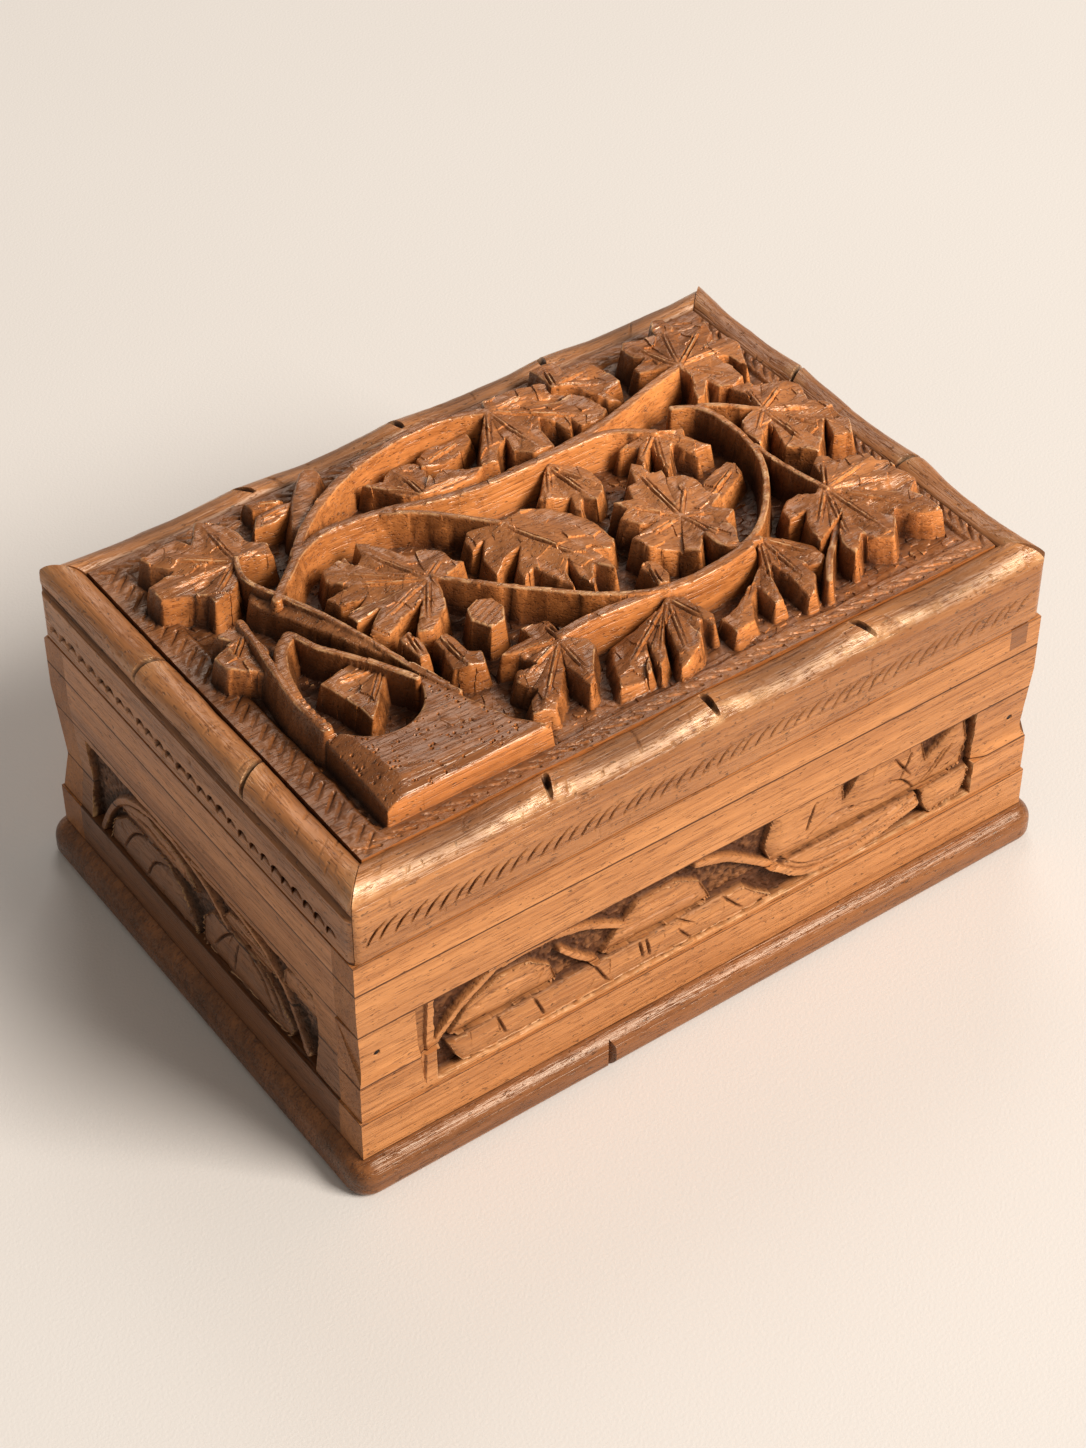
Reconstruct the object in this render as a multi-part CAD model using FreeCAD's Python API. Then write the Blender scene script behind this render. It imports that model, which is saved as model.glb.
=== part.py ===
"""Carved wooden box: a hinged lid with a leaf-and-vine relief and a sliding strip in the front wall.

Millimetres, +Z up. The origin is under the middle of the base. -Y is the front, +Y the hinged back.
"""
import FreeCAD, Part
import math
import os

V = FreeCAD.Vector
X_AXIS = V(1, 0, 0)
Y_AXIS = V(0, 1, 0)
Z_AXIS = V(0, 0, 1)
SAME = 1e-6

# Walls, over the bottom rails
BOX_LENGTH = 200.0
BOX_WIDTH = 137.0
WALL = 9.5

# Heights of the layers, from the base up
BASE_THICKNESS = 10.0
BOTTOM_RAIL_HEIGHT = 12.0
SLIDE_HEIGHT = 11.5
CARVED_HEIGHT = 16.5
UPPER_RAIL_HEIGHT = 14.0
COVE_HEIGHT = 6.0
TOP_RAIL_HEIGHT = 9.0
LID_GAP = 0.3
LID_HEIGHT = 21.7

# How far the layers stand in from the bottom rails, from the bottom up
SLIDE_INSET = 0.5
WAIST_INSET = 2.0
NECK_INSET = 1.0
UPPER_INSET = 0.6

# Base board
BASE_PROJECTION = 4.0
BASE_CORNER = 6.0
BASE_NOSE_TOP = 5.0
BASE_NOSE_BOTTOM = 2.5
BASE_NOTCH_X = -32.0
BASE_NOTCH_WIDTH = 2.4
BASE_NOTCH_DEPTH = 1.6

# Sliding strip: tongues in grooves, and a peg in a slot that stops it
SLIDE_CLEARANCE = 0.2
SLIDE_TRAVEL = 60.0
TONGUE_THICKNESS = 2.5
TONGUE_HEIGHT = 2.0
PEG_RADIUS = 1.0
PEG_REACH = 2.0
PEG_DEPTH = 8.0
PEG_CLEARANCE = 0.3

# Floor over the hidden space
FLOOR_THICKNESS = 4.0
FLOOR_LIFT = 0.5
FLOOR_CLEARANCE = 0.25
CLEAT_WIDTH = 6.0
CLEAT_HEIGHT = 6.0
CLEAT_END = 10.0

# Lid mouldings and panel
ROLL_WIDTH = 9.0
ROLL_HEIGHT = 8.0
ROLL_DROP = 2.0
LEDGE_WIDTH = 3.0
LID_CORNER = 3.0
PANEL_THICKNESS = 9.5
PANEL_DROP = 1.5
PANEL_GAP = 0.3
NOTCH_WIDTH = 3.0
NOTCH_DEPTH = 2.6
LONG_NOTCHES = [-47.0, 0.0, 47.0]
SHORT_NOTCHES = [-23.5, 23.5]

# Hinges
HINGE_X = 55.0
HINGE_LENGTH = 25.0
LEAF_DEPTH = 6.0
LEAF_THICKNESS = 1.0
AXIS_INSET = 1.5
STOP_CHAMFER = 50.0
KNUCKLE_RADIUS = 1.8
KNUCKLE_ROOM = 0.3
KNUCKLE_GAP = 0.25
PIN_RADIUS = 0.9
PIN_CLEARANCE = 0.05
MORTISE_CLEARANCE = 0.1
HINGE_SCREW_SPREAD = 8.0
HINGE_SCREW_BACK = 4.0
HINGE_SCREW_HEAD = 1.4
HINGE_SCREW_RADIUS = 0.7
HINGE_SCREW_LENGTH = 6.0
SCREW_CLEARANCE = 0.05

# Nails, patch and base screws
NAIL_RADIUS = 0.65
NAIL_LENGTH = 18.0
NAIL_SET = 0.2
NAIL_END = 6.0
PATCH_LENGTH = 5.4
PATCH_HEIGHT = 6.5
PATCH_DEPTH = 4.0
BASE_SCREW_X = 70.0
BASE_SCREW_HEAD = 3.0
BASE_SCREW_HEAD_DEPTH = 2.0
BASE_SCREW_RADIUS = 1.5
BASE_SCREW_LENGTH = 18.0
BASE_SCREW_SET = 0.3

# Wall carvings: u runs to the right as seen from outside, and heights are above the strip's upper seam
CARVING_DEPTH = 1.7
FRONT_CARVING_END = 8.5
FRONT_CARVING_FOOT = 1.5
FRONT_CARVING = (-78.5, 82.0)
FRONT_STEMS = [
    (2.2, [(-78, 0.5), (-72, 8), (-63, 15)]),
    (2.0, [(-63, 15.5), (-48, 16), (-36, 13), (-25, 6.5)]),
    (1.8, [(-43, 9.5), (-38, 4), (-33, -0.5)]),
    (2.8, [(-4, 14.5), (5, 11), (12, 6), (20, -0.5), (28, -6.5), (38, -8.5), (50, -7.5), (64, -4)]),
]
FRONT_LEAVES = [
    [(-74, 0), (-69, 7), (-60, 11.5), (-52, 11), (-46, 6), (-44, 0)],
    [(-31, 0), (-26, 6.5), (-21, 11.5), (-10, 12), (-3, 8), (1, 0)],
    [(20, 0), (17, 7), (19, 17), (39.5, 17), (41, 9), (46, 17), (64.5, 17), (67, 8), (78, 17), (80, 9),
     (79, 0)],
    [(-75, -1), (10, -1), (14, -5), (19, -9), (-71, -9), (-73, -6)],
    [(66, -1), (81, -1), (80.5, -5), (79, -8.5), (69, -9.5), (67, -6)],
]
SIDE_CARVING_END = 5.5
SIDE_CARVING_HEAD = 2.5
SIDE_CARVING = (-53.5, 48.5)
SIDE_STEMS = [
    (2.2, [(-49, -12), (-46, -4), (-41, 3), (-33, 9), (-23, 12), (-12, 12.3), (-2, 10), (4, 6.5), (9, 2)]),
    (2.2, [(-4, 12.5), (8, 13), (18, 12.5), (27, 9), (34, 3.5), (39, -3), (45, -9)]),
]
SIDE_LEAVES = [
    [(-41, 1.5), (-36, 6), (-28, 8.8), (-18, 9), (-9, 6.5), (-4, 1.5)],
    [(-45, -12), (-44, -5), (-38, -0.5), (-27, 1), (-18, 0), (-12, -3), (-6, -8), (-4, -12)],
    [(7, 3.5), (11, 8), (18, 9.8), (26, 7), (31, 3)],
    [(-2, -4), (2, 0.5), (12, 1.5), (22, 1.5), (30, -2), (38, -8), (37, -10.5), (-1, -11)],
    [(34.5, 5), (36, 11), (41, 13), (49, 10.5), (49, 5)],
]

# Lid relief, with heights above the panel's face
RELIEF_MARGIN_X = 3.1
RELIEF_MARGIN_Y = 4.6
RELIEF_ROOT = 1.0
TRUNK_HEIGHT = 8.0
TRUNK = [(-80, -52), (-80, -30), (-78, -24), (-51, -24), (-46, -35), (-38.5, -52)]
TRUNK_LOOP = (-65.5, -22.0)
TRUNK_LOOP_RADIUS = 13.0
STUB = (-27.5, -16.5)
STUB_RADIUS = 4.2
STUB_HEIGHT = 8.4
SINUS = 0.64
SHOULDER = 0.82
SHOULDER_SPREAD = 0.42
SHOULDER_SHARE = 0.38
HEEL = 2.0

# Stems: width, height and points
STEMS = [
    (2.4, 9.2, [(-78, -26), (-79, -17), (-77.5, -8), (-76, 2), (-75, 14)]),
    (2.2, 8.8, [(-53.5, -26), (-56, -19), (-60.5, -11), (-66, -2), (-70, 5), (-74.5, -3), (-77.5, -10)]),
    (1.8, 9.4, [(-47, -33), (-50.5, -23), (-54, -9), (-57.5, 3), (-62.5, 14), (-67, 26), (-64, 33)]),
    (3.4, 9.0, [(-64, 15), (-57, 22), (-50, 27.5), (-43, 30), (-34, 30), (-22, 27), (-10, 24), (2, 22.5),
                (16, 23), (30, 24), (42, 26), (54, 30), (66, 34)]),
    (3.0, 8.6, [(-50, 29), (-43, 36.5), (-34, 42), (-22, 47), (-10, 49.5), (2, 50), (10, 48), (16, 45)]),
    (1.8, 9.3, [(-25, 27), (-19, 22.5), (-12.5, 16), (-6, 9)]),
    (1.8, 8.9, [(26, 23.5), (34, 22), (40, 19.5), (44.5, 15)]),
    (2.0, 9.1, [(52, 20), (58, 18), (60.5, 13), (61, 3), (59.5, -7), (55, -15), (48, -23), (39, -30.5),
                (28, -33), (16, -33), (6, -31)]),
    (4.0, 8.7, [(-17.5, -31.5), (-6, -32), (6, -32), (18, -34.5), (30, -33.5)]),
    (1.8, 9.35, [(-30, 1), (-20, -9), (-10, -19), (0, -27), (10, -32)]),
    (1.6, 9.25, [(60.5, -4), (61.5, -13), (63, -20), (64.5, -26)]),
    (1.6, 9.05, [(59.5, 17), (65, 13.5), (71, 8)]),
    (1.6, 8.75, [(35, -24), (31.5, -28), (38, -31)]),
    (6.0, 6.6, [(-44, 36), (-38, 45), (-32, 52)]),
]

# Leaves: height, the point where the stem meets the leaf, and the tips of the lobes
LEAVES = [
    (8.2, (-64, 33), [(-55.5, 35), (-65, 50), (-77, 46.5), (-86, 34), (-76, 23)]),
    (6.4, (-75, 12), [(-83, 15), (-85, 7), (-87, -8)]),
    (5.6, (-58, -17), [(-67, -8), (-72, -15), (-69, -30)]),
    (8.5, (-31, 2), [(-21, 4), (-37, 22), (-49, 17), (-55, 6), (-53, -6), (-41, -14)]),
    (8.3, (-6.5, 8), [(10, 4), (12, -10), (5, -20), (-6, -20), (-19, -6), (-17.5, 8)]),
    (8.6, (31, -22), [(41, -19), (42.5, -9), (37, 3), (32.5, 9), (25, 3), (18, -5), (15, -15), (20, -26)]),
    (7.6, (44.5, 15), [(51, 13), (52.5, 3.5), (46, -2), (36, 6)]),
    (6.8, (15.5, 21), [(23, 11), (16, 3.5), (8, 11)]),
    (7.4, (-13, 29), [(3, 29), (5.5, 41), (-12, 42), (-24, 39)]),
    (8.1, (16, 45), [(5, 32), (20, 26), (38, 29), (34, 44)]),
    (7.8, (35, 45.5), [(36, 54), (47, 49), (50.5, 38), (43.5, 30)]),
    (8.4, (66, 33), [(56, 38.5), (59.5, 49), (72, 52), (82, 45), (84, 33), (75.5, 21), (62, 20)]),
    (8.25, (71.5, 7), [(72, 19), (84, 11), (86, -4), (77, -12), (66, -9), (62.5, 2)]),
    (8.45, (64.5, -26), [(71, -15.5), (82, -21), (85, -33), (82, -46), (66, -48.5), (54.5, -46),
                         (50.5, -37), (53, -25)]),
    (6.2, (40, -32), [(49.5, -40), (45.5, -46), (38, -49), (30.5, -46)]),
    (6.0, (8, -36), [(15, -46), (1, -51), (-8, -50), (-17, -46)]),
    (7.2, (-19.5, -33), [(-17.5, -25), (-33, -30), (-36.5, -39), (-34, -49), (-20, -48)]),
    (6.9, (-41, -27), [(-36, -26), (-41, -15), (-46, -26), (-42, -38)]),
    (5.2, (-45, 42), [(-55, 38), (-54, 46), (-46, 50)]),
    (4.6, (11, -28), [(14.5, -24), (10, -22)]),
]

# Farthest drawn points of the relief and of the wall carvings
RELIEF_POINTS = TRUNK + [point for _, _, points in STEMS for point in points]
RELIEF_POINTS += [tip for _, _, tips in LEAVES for tip in tips]
RELIEF_X = max(abs(x) for x, y in RELIEF_POINTS)
RELIEF_Y = max(abs(y) for x, y in RELIEF_POINTS)
FRONT_CARVING_U = max(abs(u) for u in FRONT_CARVING)
SIDE_CARVING_U = max(abs(u) for u in SIDE_CARVING)

# Derived planes of the walls
HALF_LENGTH = BOX_LENGTH / 2
HALF_WIDTH = BOX_WIDTH / 2
INNER_X = HALF_LENGTH - WALL
INNER_Y = HALF_WIDTH - WALL
Z_BOTTOM = BASE_THICKNESS
Z_SLIDE = Z_BOTTOM + BOTTOM_RAIL_HEIGHT
Z_CARVED = Z_SLIDE + SLIDE_HEIGHT
Z_UPPER = Z_CARVED + CARVED_HEIGHT
Z_TOP = Z_UPPER + UPPER_RAIL_HEIGHT
Z_RIM = Z_TOP + TOP_RAIL_HEIGHT
Z_FLOOR = Z_CARVED + FLOOR_LIFT

# Derived planes of the lid
Z_LID = Z_RIM + LID_GAP
Z_CREST = Z_LID + LID_HEIGHT
Z_PANEL = Z_CREST - PANEL_DROP
Z_LEDGE = Z_PANEL - PANEL_THICKNESS
LID_X = HALF_LENGTH - UPPER_INSET
LID_Y = HALF_WIDTH - UPPER_INSET
PANEL_X = LID_X - ROLL_WIDTH - PANEL_GAP
PANEL_Y = LID_Y - ROLL_WIDTH - PANEL_GAP
AXIS_Y = LID_Y - AXIS_INSET
AXIS_Z = Z_RIM + LID_GAP / 2

# Derived places of the fasteners
NAIL_X = HALF_LENGTH - NAIL_END
SLIDE_MIDDLE = Z_SLIDE + SLIDE_HEIGHT / 2
CARVING_INSET = WAIST_INSET + CARVING_DEPTH
TONGUE_Y = -(HALF_WIDTH - CARVING_INSET + INNER_Y) / 2
PEG_X = HALF_LENGTH - WALL / 2
RAIL_MIDDLE_Y = HALF_WIDTH - WALL / 2
PATCH_X = NAIL_X - PATCH_LENGTH / 2 + 2 * NAIL_RADIUS

# Insets and heights of each wall layer's outer face, from its foot to its head
BOTTOM_LEVELS = [(0.0, Z_BOTTOM), (0.0, Z_SLIDE)]
PANEL_LEVELS = [(SLIDE_INSET, Z_SLIDE), (WAIST_INSET, Z_CARVED), (NECK_INSET, Z_UPPER)]
CARVED_LEVELS = PANEL_LEVELS[1:]
UPPER_LEVELS = [(NECK_INSET, Z_UPPER), (UPPER_INSET, Z_UPPER + COVE_HEIGHT), (UPPER_INSET, Z_TOP)]
TOP_LEVELS = [(UPPER_INSET, Z_TOP), (UPPER_INSET, Z_RIM)]
SLIDE_LEVELS = [(SLIDE_INSET, Z_SLIDE + SLIDE_CLEARANCE), (SLIDE_INSET, Z_CARVED - SLIDE_CLEARANCE)]


def block(x, y, z):
    """Box from pairs of lowest and highest x, y and z."""
    return Part.makeBox(x[1] - x[0], y[1] - y[0], z[1] - z[0], V(x[0], y[0], z[0]))


def prism(points, direction):
    """Solid made by pushing a flat outline along a direction."""
    return Part.Face(Part.makePolygon(points + points[:1])).extrude(direction)


def mirrored(places):
    """Both signs of each value."""
    return [sign * place for place in places for sign in (-1, 1)]


def wall_outline(inset, z):
    x = HALF_LENGTH - inset
    y = HALF_WIDTH - inset
    corners = [V(-x, -y, z), V(x, -y, z), V(x, y, z), V(-x, y, z)]
    return Part.makePolygon(corners + corners[:1])


def wall_boards(levels):
    """Four boards of one layer: the long ones run through, the short ones butt between them."""
    low = levels[0][1]
    high = levels[-1][1]
    ring = Part.makeLoft([wall_outline(inset, z) for inset, z in levels], True, True)
    ring = ring.cut(block((-INNER_X, INNER_X), (-INNER_Y, INNER_Y), (low, high)))
    zones = {
        "front": block((-HALF_LENGTH, HALF_LENGTH), (-HALF_WIDTH, -INNER_Y), (low, high)),
        "back": block((-HALF_LENGTH, HALF_LENGTH), (INNER_Y, HALF_WIDTH), (low, high)),
        "left": block((-HALF_LENGTH, -INNER_X), (-INNER_Y, INNER_Y), (low, high)),
        "right": block((INNER_X, HALF_LENGTH), (-INNER_Y, INNER_Y), (low, high)),
    }
    return {side: ring.common(zone).Solids[0] for side, zone in zones.items()}


def tongue(low, end, room):
    """Tongue along the front that stops short of the left corner, or its groove when room is given."""
    half = TONGUE_THICKNESS / 2 + room
    return block((-INNER_X - room, end), (TONGUE_Y - half, TONGUE_Y + half), (low, low + TONGUE_HEIGHT))


def front_slide():
    """Strip that slides along the front on two tongues, with a blind slot for the stop peg in its back."""
    strip = wall_boards(SLIDE_LEVELS)["front"]
    for low in (SLIDE_LEVELS[0][1] - TONGUE_HEIGHT, SLIDE_LEVELS[1][1]):
        strip = strip.fuse(tongue(low, HALF_LENGTH - SLIDE_INSET, 0.0))
    back = -INNER_Y - SLIDE_CLEARANCE
    half_slot = PEG_RADIUS + PEG_CLEARANCE
    slot = block(
        (PEG_X - SLIDE_TRAVEL - half_slot, PEG_X + half_slot),
        (back - PEG_REACH, -INNER_Y),
        (SLIDE_MIDDLE - half_slot, SLIDE_MIDDLE + half_slot),
    )
    rear = block((-HALF_LENGTH, HALF_LENGTH), (back, -INNER_Y), (0, Z_TOP))
    return strip.cut(slot).cut(rear).cut(front_carving()).removeSplitter()


def stop_peg():
    tip = V(PEG_X, -INNER_Y - PEG_REACH, SLIDE_MIDDLE)
    return Part.makeCylinder(PEG_RADIUS, PEG_REACH + PEG_DEPTH, tip, Y_AXIS)


def layer_nails(side, heights_and_insets):
    """One nail at each end of each long board, driven into the end of the short board behind it."""
    toward = 1 if side == "front" else -1
    nails = []
    for height, inset in heights_and_insets:
        start = -toward * (HALF_WIDTH - inset - NAIL_SET)
        for x in mirrored([NAIL_X]):
            nails.append(Part.makeCylinder(NAIL_RADIUS, NAIL_LENGTH, V(x, start, height), V(0, toward, 0)))
    return nails


def middle(levels):
    """Height and inset halfway up a layer."""
    (low_inset, low), (high_inset, high) = levels[0], levels[-1]
    return (low + high) / 2, (low_inset + high_inset) / 2


def countersunk_screw(head, head_depth, radius, length, room):
    """Screw along +Z with its flat head at the origin, or the hole for it when room is given."""
    cone = Part.makeCone(head + room, radius + room, head_depth)
    return cone.fuse(Part.makeCylinder(radius + room, length))


def base_board():
    x = HALF_LENGTH + BASE_PROJECTION
    y = HALF_WIDTH + BASE_PROJECTION
    board = block((-x, x), (-y, y), (0, BASE_THICKNESS))
    board = board.makeFillet(BASE_CORNER, edges_along(board, Z_AXIS))
    board = board.makeFillet(BASE_NOSE_TOP, edges_at(board, BASE_THICKNESS))
    board = board.makeFillet(BASE_NOSE_BOTTOM, edges_at(board, 0))
    half = BASE_NOTCH_WIDTH / 2
    deep = V(BASE_NOTCH_X, -y + BASE_NOTCH_DEPTH, 0)
    notch = [V(BASE_NOTCH_X - half, -y, 0), V(BASE_NOTCH_X + half, -y, 0), deep]
    return board.cut(prism(notch, Z_AXIS * BASE_THICKNESS))


def edges_along(shape, direction):
    """Straight edges that run along a direction."""
    def runs_along(edge):
        return edge.tangentAt(edge.FirstParameter).cross(direction).Length < SAME
    return [edge for edge in shape.Edges if runs_along(edge)]


def edges_at(shape, z):
    """Edges that lie in a level plane."""
    def lies_at(edge):
        return max(abs(edge.BoundBox.ZMin - z), abs(edge.BoundBox.ZMax - z)) < SAME
    return [edge for edge in shape.Edges if lies_at(edge)]


def under_base(shape, z):
    """Copies of a shape at the places of the base screws, at height z."""
    places = [(x, y) for x in (-BASE_SCREW_X, 0.0, BASE_SCREW_X) for y in mirrored([RAIL_MIDDLE_Y])]
    return [shape.translated(V(x, y, z)) for x, y in places]


def base_screws(room):
    sizes = (BASE_SCREW_HEAD, BASE_SCREW_HEAD_DEPTH, BASE_SCREW_RADIUS, BASE_SCREW_LENGTH)
    return under_base(countersunk_screw(*sizes, room), BASE_SCREW_SET)


def screw_recesses():
    """Short holes under the heads of the base screws."""
    return under_base(Part.makeCylinder(BASE_SCREW_HEAD + SCREW_CLEARANCE, BASE_SCREW_SET), 0.0)


def rail_patch():
    """Small block let into the front top rail near its right end, flush with the rail's top and face."""
    return block(
        (PATCH_X - PATCH_LENGTH / 2, PATCH_X + PATCH_LENGTH / 2),
        (-LID_Y, -LID_Y + PATCH_DEPTH),
        (Z_RIM - PATCH_HEIGHT, Z_RIM),
    )


def false_floor():
    x = INNER_X - FLOOR_CLEARANCE
    y = INNER_Y - FLOOR_CLEARANCE
    return block((-x, x), (-y, y), (Z_FLOOR, Z_FLOOR + FLOOR_THICKNESS))


def floor_cleat(sign):
    x = sorted((sign * INNER_X, sign * (INNER_X - CLEAT_WIDTH)))
    y = INNER_Y - CLEAT_END
    return block(x, (-y, y), (Z_FLOOR - CLEAT_HEIGHT, Z_FLOOR))


def moulding(half_length, half_width, notches):
    """Mitred moulding along X at -Y: a plain band, a roll on top and a ledge inside for the panel."""
    def at(depth, z):
        return V(-half_length, -half_width + depth, z)
    crest = at(ROLL_WIDTH / 2, Z_CREST)
    outer = at(0, Z_CREST - ROLL_HEIGHT)
    inner = at(ROLL_WIDTH, Z_CREST - ROLL_DROP)
    ledge = ROLL_WIDTH + LEDGE_WIDTH
    corners = [inner, at(ROLL_WIDTH, Z_LEDGE), at(ledge, Z_LEDGE), at(ledge, Z_LID), at(0, Z_LID), outer]
    edges = [Part.LineSegment(a, b).toShape() for a, b in zip(corners, corners[1:])]
    edges.append(Part.Arc(outer, at(ROLL_WIDTH / 8, Z_CREST - ROLL_HEIGHT / 3), crest).toShape())
    edges.append(Part.Arc(crest, at(ROLL_WIDTH * 3 / 4, Z_CREST - ROLL_DROP / 4), inner).toShape())
    bar = Part.Face(Part.Wire(edges)).extrude(X_AXIS * 2 * half_length)
    short = half_length - ledge
    outline = [V(-half_length, -half_width, Z_LID), V(half_length, -half_width, Z_LID),
               V(short, -half_width + ledge, Z_LID), V(-short, -half_width + ledge, Z_LID)]
    bar = bar.common(prism(outline, Z_AXIS * LID_HEIGHT))
    for x in notches:
        wedge = [V(x, -half_width, Z_CREST - NOTCH_DEPTH), V(x + NOTCH_WIDTH / 2, -half_width, Z_CREST),
                 V(x - NOTCH_WIDTH / 2, -half_width, Z_CREST)]
        bar = bar.cut(prism(wedge, Y_AXIS * ROLL_WIDTH))
    return bar


def lid_mouldings():
    """The four mouldings, with the lid's corners rounded."""
    bars = {
        "front": moulding(LID_X, LID_Y, LONG_NOTCHES),
        "back": moulding(LID_X, LID_Y, LONG_NOTCHES).rotated(V(), Z_AXIS, 180),
        "left": moulding(LID_Y, LID_X, SHORT_NOTCHES).rotated(V(), Z_AXIS, -90),
        "right": moulding(LID_Y, LID_X, SHORT_NOTCHES).rotated(V(), Z_AXIS, 90),
    }
    outside = block((-LID_X, LID_X), (-LID_Y, LID_Y), (Z_LID, Z_CREST))
    outside = outside.makeFillet(LID_CORNER, edges_along(outside, Z_AXIS))
    return {side: bar.common(outside).Solids[0] for side, bar in bars.items()}


def stop_chamfer(z, rise):
    """Wedge cut from the back edge at height z, so that the open lid meets the rail and stops."""
    slope = rise * AXIS_INSET * math.tan(math.radians(STOP_CHAMFER))
    wedge = [V(-LID_X, AXIS_Y, z), V(-LID_X, LID_Y, z), V(-LID_X, LID_Y, z + slope)]
    return prism(wedge, X_AXIS * 2 * LID_X)


def axis_cylinder(x, radius, length):
    """Cylinder along the hinge axis, centred at x."""
    return Part.makeCylinder(radius, length, V(x - length / 2, AXIS_Y, AXIS_Z), X_AXIS)


def hinge_pocket(x, low, high):
    """Room for one hinge: a mortise for the leaf and a round channel for the knuckles."""
    half = HINGE_LENGTH / 2 + MORTISE_CLEARANCE
    mortise = block((x - half, x + half), (AXIS_Y - LEAF_DEPTH - MORTISE_CLEARANCE, AXIS_Y), (low, high))
    channel = axis_cylinder(x, KNUCKLE_RADIUS + KNUCKLE_ROOM, HINGE_LENGTH + 2 * KNUCKLE_ROOM)
    return mortise.fuse(channel)


def hinge_leaf(x, low, outer_knuckles, bore):
    """Leaf with either the two outer knuckles or the middle one."""
    half = HINGE_LENGTH / 2
    third = HINGE_LENGTH / 3
    plate = block((x - half, x + half), (AXIS_Y - LEAF_DEPTH, AXIS_Y), (low, low + LEAF_THICKNESS))
    barrel = axis_cylinder(x, KNUCKLE_RADIUS, HINGE_LENGTH)
    reach = KNUCKLE_RADIUS + KNUCKLE_ROOM
    height = (AXIS_Z - reach, AXIS_Z + reach)
    depth = (AXIS_Y - reach, AXIS_Y + reach)
    leaf = plate.fuse(barrel)
    if outer_knuckles:
        gap = third / 2 + KNUCKLE_GAP / 2
        leaf = leaf.cut(block((x - gap, x + gap), depth, height))
    else:
        gap = third / 2 - KNUCKLE_GAP / 2
        leaf = leaf.cut(block((x - half, x - gap), depth, height))
        leaf = leaf.cut(block((x + gap, x + half), depth, height))
    return leaf.cut(axis_cylinder(x, bore, HINGE_LENGTH)).removeSplitter()


def hinge_screws(x, z, up, room):
    """The two screws of one leaf, with their heads at height z, pointing up or down."""
    sizes = (HINGE_SCREW_HEAD, LEAF_THICKNESS, HINGE_SCREW_RADIUS, HINGE_SCREW_LENGTH)
    screw = countersunk_screw(*sizes, room)
    if not up:
        screw = screw.rotated(V(), X_AXIS, 180)
    y = AXIS_Y - HINGE_SCREW_BACK
    return [screw.translated(V(x + dx, y, z)) for dx in mirrored([HINGE_SCREW_SPREAD])]


def drawn(point, z):
    """Point of the relief drawing on the panel at height z, with the drawing's margins kept."""
    x = point[0] * (PANEL_X - RELIEF_MARGIN_X) / RELIEF_X
    y = point[1] * (PANEL_Y - RELIEF_MARGIN_Y) / RELIEF_Y
    return V(x, y, z)


def raised(points, height):
    """Flat-topped relief on the panel's face with a drawn outline."""
    foot = Z_PANEL - RELIEF_ROOT
    return prism([drawn(point, foot) for point in points], Z_AXIS * (height + RELIEF_ROOT))


def round_relief(centre, radius, height):
    foot = Z_PANEL - RELIEF_ROOT
    return Part.makeCylinder(radius, height + RELIEF_ROOT, drawn(centre, foot))


def stem_outline(points, width):
    """Band of even width along a line of points."""
    left = []
    right = []
    for index, (x, y) in enumerate(points):
        before = points[max(index - 1, 0)]
        after = points[min(index + 1, len(points) - 1)]
        along = V(after[0] - before[0], after[1] - before[1], 0).normalize()
        left.append((x - along.y * width / 2, y + along.x * width / 2))
        right.append((x + along.y * width / 2, y - along.x * width / 2))
    return left + right[::-1]


def leaf_outline(base, tips):
    """Lobed leaf: two shoulders and a tip for each lobe, a sinus between lobes and a heel at the stem."""
    def around(angle, reach):
        return base[0] + reach * math.cos(angle), base[1] + reach * math.sin(angle)
    spokes = [(x - base[0], y - base[1]) for x, y in tips]
    lobes = sorted((math.atan2(y, x), math.hypot(x, y)) for x, y in spokes)
    turns = [(lobes[(i + 1) % len(lobes)][0] - lobes[i][0]) % (2 * math.pi) for i in range(len(lobes))]
    first = (turns.index(max(turns)) + 1) % len(lobes)
    lobes = lobes[first:] + lobes[:first]
    turns = turns[first:] + turns[:first]
    points = [around(lobes[0][0] - turns[-1] / 2, HEEL)]
    for index, (angle, reach) in enumerate(lobes):
        before = min(SHOULDER_SPREAD, turns[index - 1] * SHOULDER_SHARE)
        after = min(SHOULDER_SPREAD, turns[index] * SHOULDER_SHARE)
        points.append(around(angle - before, reach * SHOULDER))
        points.append(around(angle, reach))
        points.append(around(angle + after, reach * SHOULDER))
        if index + 1 < len(lobes):
            shorter = min(reach, lobes[index + 1][1])
            points.append(around(angle + turns[index] / 2, shorter * SINUS))
    return points


def lid_panel():
    """Panel in the mouldings' ledge with the leaf-and-vine relief on its face."""
    panel = block((-PANEL_X, PANEL_X), (-PANEL_Y, PANEL_Y), (Z_LEDGE, Z_PANEL))
    trunk = raised(TRUNK, TRUNK_HEIGHT).cut(round_relief(TRUNK_LOOP, TRUNK_LOOP_RADIUS, TRUNK_HEIGHT))
    relief = [trunk, round_relief(STUB, STUB_RADIUS, STUB_HEIGHT)]
    relief += [raised(stem_outline(points, width), height) for width, height, points in STEMS]
    relief += [raised(leaf_outline(base, tips), height) for height, base, tips in LEAVES]
    return panel.multiFuse(relief).removeSplitter()


def wall_point(side, u, z, inset):
    """Point at an inset behind the bottom rail's face on one side."""
    if side == "front":
        return V(u, inset - HALF_WIDTH, z)
    if side == "left":
        return V(inset - HALF_LENGTH, -u, z)
    return V(HALF_LENGTH - inset, u, z)


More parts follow.
